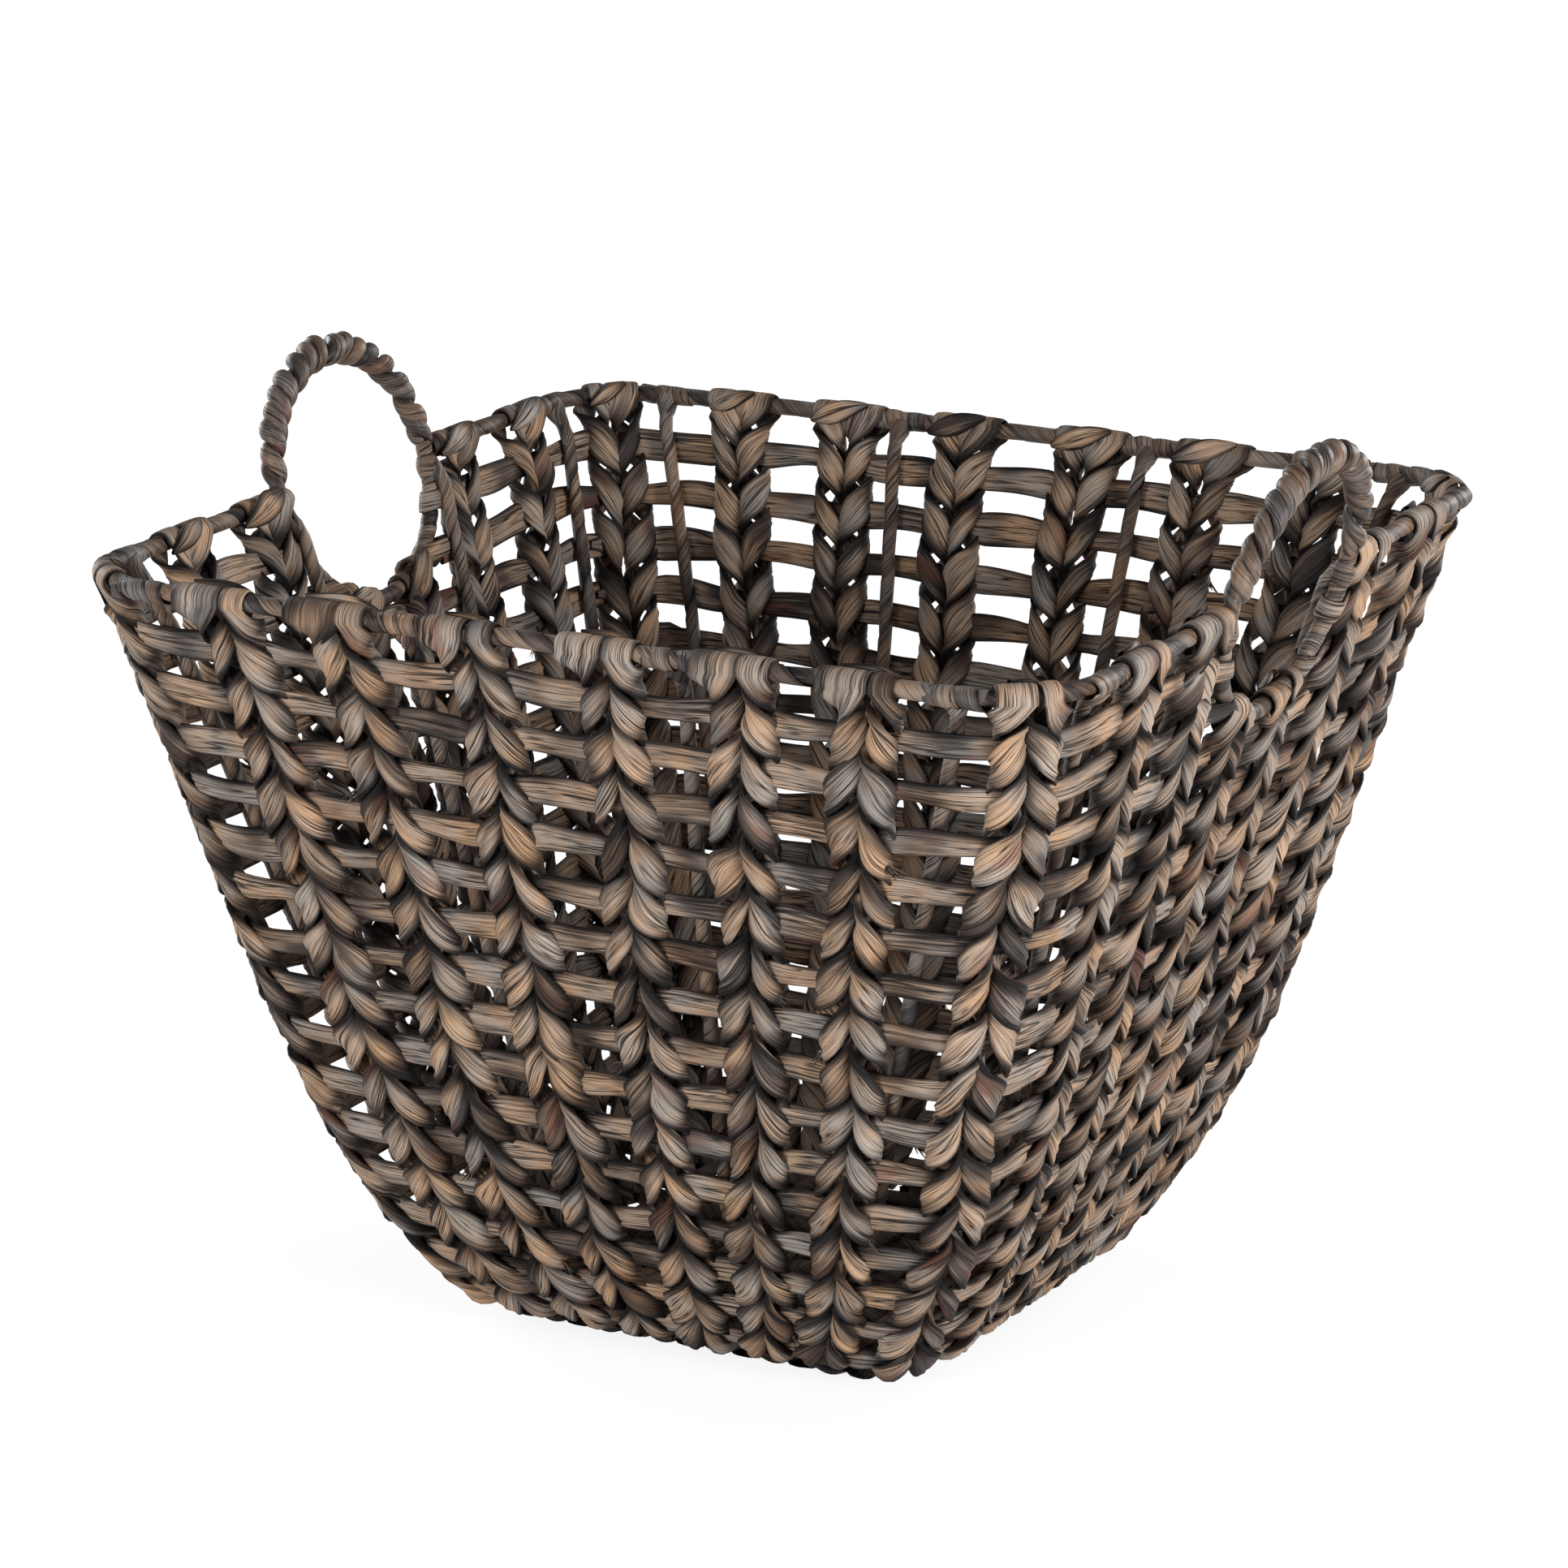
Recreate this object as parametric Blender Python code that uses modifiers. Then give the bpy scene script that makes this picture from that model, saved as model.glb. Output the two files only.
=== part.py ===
"""A square open basket of plaited water hyacinth on a welded wire frame, with two wound ring handles.

Metres, +Z up. The basket stands on the ground with its base centred on the origin.
Its front faces -Y, and its handles are on the -X and +X sides.
A place on the wall is a share of the drop from the rim wire (0) to the ground (1).
A distance down the wall is measured from the rim wire along the slope.
"""

import bisect
import math

import bmesh
import bpy
import numpy
from mathutils import Vector

# Clearance left between pieces that touch on the real basket
GAP = 0.0003

# Rim wire and the shape of the wall below it
RIM_HALF_LENGTH = 0.220
RIM_HALF_DEPTH = 0.212
RIM_HEIGHT = 0.329
RIM_WIRE_RADIUS = 0.0034
RIM_CORNER_RADIUS = 0.046
RIM_CORNER_STEPS = 5
WALL_LEAN_SHARE = 0.268
BASE_TUCK = 0.034
BASE_TUCK_POWER = 6.5
WALL_STEPS = 600

# Flat strips that run level round the wall
ROW_COUNT = 15
CUT_ROW_COUNT = 2
ROW_HEIGHT = 0.0125
ROW_THICKNESS = 0.004
FIRST_ROW_DROP = 0.022
LAST_ROW_RISE = 0.0214
ROW_CORNER_RADIUS_TOP = 0.043
ROW_CORNER_RADIUS_BASE = 0.025
ROW_CORNER_STEPS = 3

# Plaits, each a strap that hangs from a wire and holds every row between its outer and inner runs
PLAIT_WIDTH_TOP = 0.022
PLAIT_WIDTH_BASE = 0.018
PLAIT_THICKNESS = 0.0035
PLAIT_SHOULDER = 0.0105
PLAIT_BEND_ROWS = (3.5, 6.5, 8.5, 9.5, 10.5, 11.5, 12.5, 13.5)
LONG_SIDE_PLAIT_SHARES = (-0.66, -0.41, -0.14, 0.14, 0.41, 0.66)
OUTER_PLAIT_SHARES = (-0.62, 0.67)
RING_SIDE_PLAIT_GAP = 0.005
HANGING_PLAIT_SHARES = (-0.41, 0.405)
HANGING_PLAITS = (3, 4)
HANGING_SLACK = 0.0006

# Uprights, each one wire that runs down a wall, across the base and up the other wall
UPRIGHT_RADIUS = 0.0026
UPRIGHT_BASE_DEPTH = 0.0095
UPRIGHT_BEND_ROWS = (3.5, 6.5, 8.5, 10.5, 12)
UPRIGHT_FILLET = 0.007
LONG_SIDE_UPRIGHT_RIM_SHARES = (-0.83, -0.28, 0.28, 0.83)
LONG_SIDE_UPRIGHT_BASE_SHARES = (-0.70, -0.275, 0.275, 0.70)
OUTER_UPRIGHT_RIM_SHARES = (-0.80, 0.82)
OUTER_UPRIGHT_BASE_SHARES = (-0.69, 0.75)
RING_SIDE_UPRIGHT_OFFSET = 0.0005
RING_SIDE_UPRIGHT_SHARE = 0.87

# Handle rings and the strand wound round the upper arc of each
RING_HALF_WIDTH = 0.058
RING_WIRE_RADIUS = 0.0030
RING_ROW_GAP = 0.0022
RING_SHIFT = 0.005
RING_POINTS = 40
RING_STEPS = 600
WINDING_LOOPS = 20
WINDING_LOOP_POINTS = 12
WINDING_STRAND_WIDTH = 0.0078
WINDING_STRAND_THICKNESS = 0.0031
WINDING_STRAND_SIDES = 6
WINDING_TURN_RADIUS = 0.0045
WINDING_TURN_POINTS = 4
WINDING_END_RUN = 0.004

# Woven mat that closes the base
MAT_INSET = 0.006
MAT_THICKNESS = 0.009
MAT_CORNER_RADIUS = 0.026
MAT_CORNER_STEPS = 6

# Finishes: colour, roughness and metallic value
HYACINTH = ((0.115, 0.085, 0.062), 0.78, 0.0)
HYACINTH_DARK = ((0.070, 0.052, 0.040), 0.82, 0.0)
WRAPPED_WIRE = ((0.085, 0.065, 0.050), 0.66, 0.0)
HANDLE_STRAND = ((0.100, 0.075, 0.058), 0.60, 0.0)

# Worked out from the sizes above
WALL_LEAN = math.atan(WALL_LEAN_SHARE)
ROW_INSET = (RIM_WIRE_RADIUS - ROW_THICKNESS / 2) / math.cos(WALL_LEAN)
RUN_DEPTH = ROW_THICKNESS / 2 + GAP + PLAIT_THICKNESS / 2
UPRIGHT_DEPTH = ROW_THICKNESS / 2 + GAP + UPRIGHT_RADIUS
WINDING_ORBIT = RING_WIRE_RADIUS + GAP + WINDING_STRAND_THICKNESS / 2
ACROSS = {
    "front": (Vector((0, -1, 0)), Vector((1, 0, 0))),
    "back": (Vector((0, 1, 0)), Vector((1, 0, 0))),
    "left": (Vector((-1, 0, 0)), Vector((0, 1, 0))),
    "right": (Vector((1, 0, 0)), Vector((0, 1, 0))),
}
HANDLE_SIDES = ("left", "right")


def clear_scene():
    for obj in list(bpy.data.objects):
        bpy.data.objects.remove(obj)


def new_collection(name):
    collection = bpy.data.collections.new(name)
    bpy.context.scene.collection.children.link(collection)
    return collection


def new_material(name, finish):
    colour, roughness, metallic = finish
    material = bpy.data.materials.new(name)
    material.use_nodes = True
    shader = material.node_tree.nodes["Principled BSDF"]
    shader.inputs["Base Color"].default_value = (*colour, 1)
    shader.inputs["Roughness"].default_value = roughness
    shader.inputs["Metallic"].default_value = metallic
    material.diffuse_color = (*colour, 1)
    return material


def add_object(name, data, finish, collection):
    obj = bpy.data.objects.new(name, data)
    data.materials.append(new_material(name, finish))
    collection.objects.link(obj)
    return obj


# The wall


def wall_inset(drop):
    """How far the rows' middle surface has moved in from its place at the rim."""
    return WALL_LEAN_SHARE * RIM_HEIGHT * drop + BASE_TUCK * drop**BASE_TUCK_POWER


def half_sides(drop):
    """Half the length and half the depth of the rows' middle surface."""
    length = RIM_HALF_LENGTH - ROW_INSET - wall_inset(drop)
    return length, length - (RIM_HALF_LENGTH - RIM_HALF_DEPTH) * (1 - drop)


def row_corner_radius(drop):
    return ROW_CORNER_RADIUS_TOP + (ROW_CORNER_RADIUS_BASE - ROW_CORNER_RADIUS_TOP) * drop


def height(drop):
    return RIM_HEIGHT * (1 - drop)


def walk_down_wall():
    """The distance down the wall at each of WALL_STEPS + 1 even drops."""
    distances = [0.0]
    for step in range(WALL_STEPS):
        above, below = step / WALL_STEPS, (step + 1) / WALL_STEPS
        inward = wall_inset(below) - wall_inset(above)
        distances.append(distances[-1] + math.hypot(inward, height(above) - height(below)))
    return distances


WALL_DISTANCES = walk_down_wall()
ROW_PITCH = (WALL_DISTANCES[-1] - FIRST_ROW_DROP - LAST_ROW_RISE) / (ROW_COUNT - 1)
RING_HALF_HEIGHT = (
    FIRST_ROW_DROP + ROW_PITCH * CUT_ROW_COUNT - ROW_HEIGHT / 2 - RING_ROW_GAP - RING_WIRE_RADIUS
)


def drop_at(distance):
    """The drop at a distance down the wall."""
    step = min(max(bisect.bisect(WALL_DISTANCES, distance) - 1, 0), WALL_STEPS - 1)
    here, beyond = WALL_DISTANCES[step], WALL_DISTANCES[step + 1]
    return (step + (distance - here) / (beyond - here)) / WALL_STEPS


def row_distance(row):
    """The distance down the wall of a row's middle, from row 0 at the top. Half rows lie between."""
    return FIRST_ROW_DROP + ROW_PITCH * row


def lerp(start, end, share):
    return start + (end - start) * share


# Places on the wall. A side place is (side, share of the half side), a corner place is (x sign, y sign).


def directions(place):
    """The outward and the sideways direction of a place, both level."""
    if place[0] in ACROSS:
        return ACROSS[place[0]]
    outward = Vector((place[0], place[1], 0)).normalized()
    return outward, Vector((-outward.y, outward.x, 0))


def seat(place, drop):
    """The point of the rows' middle surface at a place and a drop."""
    length, depth = half_sides(drop)
    outward, sideways = directions(place)
    if place[0] in HANDLE_SIDES:
        point = outward * length + sideways * (place[1] * depth)
    elif place[0] in ACROSS:
        point = outward * depth + sideways * (place[1] * length)
    else:
        radius = row_corner_radius(drop)
        middle = Vector((place[0] * (length - radius), place[1] * (depth - radius), 0))
        point = middle + outward * (radius * math.cos(math.pi / 4 / ROW_CORNER_STEPS))
    point.z = height(drop)
    return point


def slope(place, drop):
    """The unit direction down the wall at a place, and the unit normal that points out of the basket."""
    reach = 1 / WALL_STEPS
    start = min(drop, 1 - reach)
    down = (seat(place, start + reach) - seat(place, start)).normalized()
    outward, sideways = directions(place)
    normal = sideways.cross(down).normalized()
    return down, normal if normal.dot(outward) > 0 else -normal


def on_wall(place, distance, depth):
    """The point at a distance down the wall, moved out of the rows' middle surface by depth."""
    drop = drop_at(distance)
    return seat(place, drop) + slope(place, drop)[1] * depth


def squeeze(place, drop, half_width):
    """The extra depth that a flat strap needs where it reaches past the flat stretch of the rows."""
    radius = row_corner_radius(drop)
    if place[0] in ACROSS:
        length, depth = half_sides(drop)
        half_side = depth if place[0] in HANDLE_SIDES else length
        overhang = abs(place[1]) * half_side + half_width - (half_side - radius)
        return max(overhang, 0) * math.tan(math.pi / 4 / ROW_CORNER_STEPS)
    overhang = half_width - radius * math.sin(math.pi / 4 / ROW_CORNER_STEPS)
    return GAP + max(overhang, 0) * math.tan(math.pi / 2 / ROW_CORNER_STEPS)


# Shapes shared by several pieces


def rounded_corner(x_sign, y_sign, half_length, half_depth, radius, steps):
    """The points of one corner arc, in anticlockwise order."""
    centre_x, centre_y = x_sign * (half_length - radius), y_sign * (half_depth - radius)
    first = math.atan2(y_sign, x_sign) - math.pi / 4
    turns = [first + math.pi / 2 * step / steps for step in range(steps + 1)]
    return [(centre_x + radius * math.cos(turn), centre_y + radius * math.sin(turn)) for turn in turns]


def rounded_square(half_length, half_depth, radius, steps):
    corners = ((1, -1), (1, 1), (-1, 1), (-1, -1))
    return [
        point
        for x_sign, y_sign in corners
        for point in rounded_corner(x_sign, y_sign, half_length, half_depth, radius, steps)
    ]


def add_strap(name, first_edge, second_edge, closed, thickness, finish, collection):
    """A strap of even thickness between two edges that have as many points each."""
    mesh = bpy.data.meshes.new(name)
    count = len(first_edge)
    spans = range(count) if closed else range(count - 1)
    faces = [(i, (i + 1) % count, (i + 1) % count + count, i + count) for i in spans]
    mesh.from_pydata([*first_edge, *second_edge], [], faces)
    obj = add_object(name, mesh, finish, collection)
    shell = obj.modifiers.new("thickness", "SOLIDIFY")
    shell.thickness = thickness
    shell.offset = 0
    shell.use_even_offset = True
    return obj


def add_wire(name, points, closed, radius, finish, collection):
    """A round wire through the points."""
    curve = bpy.data.curves.new(name, "CURVE")
    curve.dimensions = "3D"
    curve.bevel_depth = radius
    curve.bevel_resolution = 1
    curve.use_fill_caps = not closed
    spline = curve.splines.new("POLY")
    spline.points.add(len(points) - 1)
    for slot, point in zip(spline.points, points):
        slot.co = (*point, 1)
    spline.use_cyclic_u = closed
    return add_object(name, curve, finish, collection)


# Rows


def row_edges(distance):
    """The drops of a row's upper and lower edge."""
    return drop_at(distance - ROW_HEIGHT / 2), drop_at(distance + ROW_HEIGHT / 2)


def add_whole_row(name, distance, collection):
    edges = []
    for drop in row_edges(distance):
        outline = rounded_square(*half_sides(drop), row_corner_radius(drop), ROW_CORNER_STEPS)
        edges.append([(x, y, height(drop)) for x, y in outline])
    add_strap(name, *edges, True, ROW_THICKNESS, HYACINTH, collection)


def ring_half_width_at(distance):
    """Half the width of a handle ring's middle line at a distance down the wall."""
    return RING_HALF_WIDTH * math.sqrt(1 - (distance / RING_HALF_HEIGHT) ** 2)


def add_cut_row(name, distance, y_sign, collection):
    """A row on one half of the basket, which ends at the two handle rings."""
    widest = ring_half_width_at(distance - ROW_HEIGHT / 2)
    end = RING_SHIFT + y_sign * (widest + RING_WIRE_RADIUS + 2 * GAP)
    edges = []
    for drop in row_edges(distance):
        length, depth = half_sides(drop)
        edge = [(y_sign * length, end, height(drop))]
        for x_sign in (y_sign, -y_sign):
            corner = rounded_corner(x_sign, y_sign, length, depth, row_corner_radius(drop), ROW_CORNER_STEPS)
            edge += [(x, y, height(drop)) for x, y in corner]
        edge.append((-y_sign * length, end, height(drop)))
        edges.append(edge)
    add_strap(name, *edges, False, ROW_THICKNESS, HYACINTH, collection)


def add_rows(collection):
    for row in range(ROW_COUNT):
        name = f"row_{row + 1:02d}"
        distance = row_distance(row)
        if row < CUT_ROW_COUNT:
            add_cut_row(name + "_front", distance, -1, collection)
            add_cut_row(name + "_back", distance, 1, collection)
        else:
            add_whole_row(name, distance, collection)


# Plaits


def plait_half_width(drop):
    return lerp(PLAIT_WIDTH_TOP, PLAIT_WIDTH_BASE, drop) / 2


def rim_point(place):
    """The middle of the rim wire at a place."""
    outward, sideways = directions(place)
    if place[0] in ACROSS:
        half = RIM_HALF_LENGTH if place[0] in HANDLE_SIDES else RIM_HALF_DEPTH
        point = seat(place, 0)
        point += outward * (half - point.dot(outward))
    else:
        inner_length, inner_depth = RIM_HALF_LENGTH - RIM_CORNER_RADIUS, RIM_HALF_DEPTH - RIM_CORNER_RADIUS
        point = Vector((place[0] * inner_length, place[1] * inner_depth, 0)) + outward * RIM_CORNER_RADIUS
    point.z = RIM_HEIGHT
    return point


def ring_point(side, turn):
    """A point of a handle ring's middle line. The turn is 0 at the back end and grows over the top."""
    x_sign = ACROSS[side][0].x
    upward = RING_HALF_HEIGHT * math.sin(turn)
    x = x_sign * (RIM_HALF_LENGTH + upward * math.sin(WALL_LEAN))
    y = RING_SHIFT + RING_HALF_WIDTH * math.cos(turn)
    return Vector((x, y, RIM_HEIGHT + upward * math.cos(WALL_LEAN)))


def top_bend(middle, down, normal, radius):
    """The bend of a strap over a wire, from the inner run to the outer one."""
    flat = radius * math.tan(math.pi / 8)
    offsets = ((-radius, -flat), (-flat, -radius), (flat, -radius), (radius, -flat), (radius, flat))
    return [middle + normal * out + down * fall for out, fall in offsets]


def plait_edge(place, hangs_from_ring, edge_sign):
    """One edge of a plait's strap, once round: over the wire, down the outside, up the inside."""
    sideways = directions(place)[1]
    bend_radius = RIM_WIRE_RADIUS + GAP + PLAIT_THICKNESS / 2
    aside = sideways * (edge_sign * plait_half_width(0))
    middle = rim_point(place)
    down, normal = slope(place, 0)
    top_distance = 0.0
    if hangs_from_ring:
        across = seat(place, drop_at(RING_HALF_HEIGHT)).y + aside.y - RING_SHIFT
        turn = -math.acos(across / RING_HALF_WIDTH)
        middle = ring_point(place[0], turn)
        top_distance = -RING_HALF_HEIGHT * math.sin(turn)
        aside = Vector()
        bend_radius += HANGING_SLACK
    elif place[0] not in ACROSS:
        sag = RIM_CORNER_RADIUS - math.sqrt(RIM_CORNER_RADIUS**2 - aside.length_squared)
        middle -= normal * (sag / 2)
        bend_radius += sag / 2
    points = [point + aside for point in top_bend(middle, down, normal, bend_radius)]

    def add_point(distance, depth):
        drop = drop_at(distance)
        half_width = plait_half_width(drop)
        extra = squeeze(place, drop, half_width) if depth < 0 else 0
        points.append(on_wall(place, distance, depth - extra) + sideways * (edge_sign * half_width))

    end = row_distance(ROW_COUNT - 1) + ROW_HEIGHT / 2
    flat = (GAP + PLAIT_THICKNESS / 2) * math.tan(math.pi / 8)
    add_point(top_distance + PLAIT_SHOULDER, RUN_DEPTH)
    for row in PLAIT_BEND_ROWS:
        add_point(row_distance(row), RUN_DEPTH)
    foot = end + squeeze(place, drop_at(end), plait_half_width(drop_at(end)))
    add_point(foot + flat, RUN_DEPTH)
    add_point(foot + GAP + PLAIT_THICKNESS / 2, ROW_THICKNESS / 2 + flat)
    add_point(foot + GAP + PLAIT_THICKNESS / 2, -ROW_THICKNESS / 2 - flat)
    add_point(foot + flat, -RUN_DEPTH)
    for row in reversed(PLAIT_BEND_ROWS):
        add_point(row_distance(row), -RUN_DEPTH)
    return points


def add_plait(name, place, hangs_from_ring, collection):
    edges = [plait_edge(place, hangs_from_ring, sign) for sign in (-1, 1)]
    add_strap(name, *edges, True, PLAIT_THICKNESS, HYACINTH, collection)


def handle_side_plait_shares():
    """The outer plaits, the two beside the handle ring and the two that hang from it."""
    half_side = half_sides(0)[1]
    beside = RING_HALF_WIDTH + RING_WIRE_RADIUS + RING_SIDE_PLAIT_GAP + plait_half_width(0)
    offsets = (-beside, *(RING_HALF_WIDTH * share for share in HANGING_PLAIT_SHARES), beside)
    inner = [(RING_SHIFT + offset) / half_side for offset in offsets]
    return OUTER_PLAIT_SHARES[0], *inner, OUTER_PLAIT_SHARES[1]


def add_plaits(collection):
    for side in ACROSS:
        shares = handle_side_plait_shares() if side in HANDLE_SIDES else LONG_SIDE_PLAIT_SHARES
        for number, share in enumerate(shares, 1):
            hangs = side in HANDLE_SIDES and number in HANGING_PLAITS
            add_plait(f"plait_{side}_{number}", (side, share), hangs, collection)
    for y_sign, end in ((-1, "front"), (1, "back")):
        for x_sign, side in ((-1, "left"), (1, "right")):
            add_plait(f"plait_corner_{end}_{side}", (x_sign, y_sign), False, collection)


# Wire frame


def add_rim_wire(name, y_sign, collection):
    """Half of the rim, which ends at the two handle rings."""
    end = RING_SHIFT + y_sign * (RING_HALF_WIDTH + RING_WIRE_RADIUS + GAP)
    points = [(y_sign * RIM_HALF_LENGTH, end)]
    for x_sign in (y_sign, -y_sign):
        points += rounded_corner(
            x_sign, y_sign, RIM_HALF_LENGTH, RIM_HALF_DEPTH, RIM_CORNER_RADIUS, RIM_CORNER_STEPS
        )
    points.append((-y_sign * RIM_HALF_LENGTH, end))
    places = [(x, y, RIM_HEIGHT) for x, y in points]
    add_wire(name, places, False, RIM_WIRE_RADIUS, WRAPPED_WIRE, collection)


def add_handle_ring(side, collection):
    turns = [2 * math.pi * step / RING_POINTS for step in range(RING_POINTS)]
    points = [ring_point(side, turn) for turn in turns]
    add_wire(f"handle_ring_{side}", points, True, RING_WIRE_RADIUS, WRAPPED_WIRE, collection)


def upright_leg(side, rim_share, base_share, floor):
    """One leg of an upright, from the rim down to where it bends onto the base."""
    whole = row_distance(ROW_COUNT - 1)
    points = []
    for distance in (0, *map(row_distance, UPRIGHT_BEND_ROWS)):
        place = (side, lerp(rim_share, base_share, distance / whole))
        depth = lerp(UPRIGHT_DEPTH, UPRIGHT_BASE_DEPTH, distance / whole)
        depth += squeeze(place, drop_at(distance), UPRIGHT_RADIUS)
        points.append(on_wall(place, distance, -depth))
    down = slope(place, drop_at(row_distance(UPRIGHT_BEND_ROWS[-1] + 1)))[0]
    corner = points[-1] + down * ((points[-1].z - floor) / -down.z)
    inward = -directions(place)[0]
    return [*points, corner - down * UPRIGHT_FILLET, corner + inward * UPRIGHT_FILLET]


def add_upright_set(sides, rim_shares, base_shares, floor, collection):
    for number, (rim_share, base_share) in enumerate(zip(rim_shares, base_shares), 1):
        legs = [upright_leg(side, rim_share, base_share, floor) for side in sides]
        name = f"upright_{sides[0]}_to_{sides[1]}_{number}"
        points = legs[0] + legs[1][::-1]
        add_wire(name, points, False, UPRIGHT_RADIUS, WRAPPED_WIRE, collection)


def handle_side_upright_shares():
    """The rim shares and the base shares. The inner two start at the sides of the handle ring."""
    beside = RING_HALF_WIDTH + RING_SIDE_UPRIGHT_OFFSET
    inner = [(RING_SHIFT + offset) / half_sides(0)[1] for offset in (-beside, beside)]
    rim_shares = OUTER_UPRIGHT_RIM_SHARES[0], *inner, OUTER_UPRIGHT_RIM_SHARES[1]
    drawn_in = [share * RING_SIDE_UPRIGHT_SHARE for share in inner]
    return rim_shares, (OUTER_UPRIGHT_BASE_SHARES[0], *drawn_in, OUTER_UPRIGHT_BASE_SHARES[1])


def add_uprights(collection):
    floor = MAT_THICKNESS + GAP + UPRIGHT_RADIUS
    add_upright_set(HANDLE_SIDES, *handle_side_upright_shares(), floor, collection)
    floor += 2 * UPRIGHT_RADIUS + GAP
    shares = LONG_SIDE_UPRIGHT_RIM_SHARES, LONG_SIDE_UPRIGHT_BASE_SHARES
    add_upright_set(("front", "back"), *shares, floor, collection)


# Handle windings


def winding_route():
    """Pairs of distance along the ring and distance round its wire, from one end of the strand to the other."""
    orbit_length = 2 * math.pi * WINDING_ORBIT
    length = winding_length()
    pitch_angle = math.atan2(length / WINDING_LOOPS, orbit_length)
    last_turn = math.pi / 2 - pitch_angle
    turns = [last_turn * step / WINDING_TURN_POINTS for step in range(WINDING_TURN_POINTS + 1)]
    start = [(-WINDING_END_RUN, 0.0)]
    start += [(WINDING_TURN_RADIUS * math.sin(t), WINDING_TURN_RADIUS * (1 - math.cos(t))) for t in turns]
    round_wire = WINDING_LOOPS * orbit_length
    finish = [(length - along, round_wire - around) for along, around in reversed(start)]
    count = WINDING_LOOPS * WINDING_LOOP_POINTS - 2
    first, last = start[-1], finish[0]
    helix = [
        (lerp(first[0], last[0], step / count), lerp(first[1], last[1], step / count))
        for step in range(1, count)
    ]
    return start + helix + finish


def ring_turn_speed():
    """Metres along the ring for each radian, averaged over the upper arc."""
    points = [ring_point("right", math.pi * step / RING_STEPS) for step in range(RING_STEPS + 1)]
    return sum((b - a).length for a, b in zip(points, points[1:])) / math.pi


def winding_first_turn():
    """The turn at which the loops start, so that the strand's straight end meets the rim wire square."""
    foot = RIM_WIRE_RADIUS + GAP + WINDING_END_RUN
    return math.asin(foot / math.cos(WALL_LEAN) / RING_HALF_HEIGHT)


def winding_length():
    return (math.pi - 2 * winding_first_turn()) * ring_turn_speed()


def winding_sections(side):
    """The outlines of the strand, one for each point of its route."""
    speed = ring_turn_speed()
    plane_normal = Vector((ACROSS[side][0].x * math.cos(WALL_LEAN), 0, -math.sin(WALL_LEAN)))
    middles, radials = [], []
    for along, around in winding_route():
        turn = winding_first_turn() + along / speed
        ahead = ring_point(side, turn + math.pi / RING_STEPS)
        behind = ring_point(side, turn - math.pi / RING_STEPS)
        outward = (ahead - behind).normalized().cross(plane_normal)
        if outward.dot(ring_point(side, turn) - ring_point(side, turn + math.pi)) < 0:
            outward = -outward
        angle = around / WINDING_ORBIT
        radial = outward * math.cos(angle) + plane_normal * math.sin(angle)
        middles.append(ring_point(side, turn) + radial * WINDING_ORBIT)
        radials.append(radial)
    sections = []
    for i, (middle, radial) in enumerate(zip(middles, radials)):
        run = (middles[min(i + 1, len(middles) - 1)] - middles[max(i - 1, 0)]).normalized()
        wide = run.cross(radial).normalized()
        section = []
        for corner in range(WINDING_STRAND_SIDES):
            angle = 2 * math.pi * (corner + 0.5) / WINDING_STRAND_SIDES
            reach = wide * (WINDING_STRAND_WIDTH / 2 * math.cos(angle))
            section.append(middle + reach + radial * (WINDING_STRAND_THICKNESS / 2 * math.sin(angle)))
        sections.append(section)
    return sections


def least_gap(sections):
    """The least distance between points of the strand that lie half a loop or more apart along it."""
    points = numpy.array([[tuple(point) for point in section] for section in sections])
    least = math.inf
    for i, section in enumerate(points):
        later = points[i + WINDING_LOOP_POINTS // 2 :].reshape(-1, 3)
        if len(later):
            distances = numpy.linalg.norm(later[:, None] - section[None], axis=2)
            least = min(least, distances.min())
    return least


def add_handle_winding(side, collection):
    name = f"handle_winding_{side}"
    sections = winding_sections(side)
    print(f"{name}: least gap between loops {least_gap(sections):.5f} m")
    mesh = bpy.data.meshes.new(name)
    shape = bmesh.new()
    rings = [[shape.verts.new(point) for point in section] for section in sections]
    for ring, beyond in zip(rings, rings[1:]):
        for corner in range(WINDING_STRAND_SIDES):
            following = (corner + 1) % WINDING_STRAND_SIDES
            shape.faces.new((ring[corner], ring[following], beyond[following], beyond[corner]))
    shape.faces.new(rings[0])
    shape.faces.new(rings[-1])
    bmesh.ops.recalc_face_normals(shape, faces=shape.faces)
    shape.to_mesh(mesh)
    shape.free()
    add_object(name, mesh, HANDLE_STRAND, collection)


# Base


def add_base_mat(collection):
    """The mat is one flat outline inside the rows, raised so that its underside is on the ground."""
    curve = bpy.data.curves.new("base_mat", "CURVE")
    curve.dimensions = "2D"
    curve.fill_mode = "BOTH"
    curve.extrude = MAT_THICKNESS / 2
    half_length, half_depth = half_sides(1 - MAT_THICKNESS / RIM_HEIGHT)
    outline = rounded_square(
        half_length - MAT_INSET, half_depth - MAT_INSET, MAT_CORNER_RADIUS, MAT_CORNER_STEPS
    )
    spline = curve.splines.new("POLY")
    spline.points.add(len(outline) - 1)
    for slot, point in zip(spline.points, outline):
        slot.co = (*point, 0, 1)
    spline.use_cyclic_u = True
    mat = add_object("base_mat", curve, HYACINTH_DARK, collection)
    mat.location.z = MAT_THICKNESS / 2


def main():
    clear_scene()
    basket = new_collection("water_hyacinth_basket")
    add_rim_wire("rim_wire_front", -1, basket)
    add_rim_wire("rim_wire_back", 1, basket)
    for side in HANDLE_SIDES:
        add_handle_ring(side, basket)
        add_handle_winding(side, basket)
    add_uprights(basket)
    add_rows(basket)
    add_plaits(basket)
    add_base_mat(basket)


main()
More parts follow.
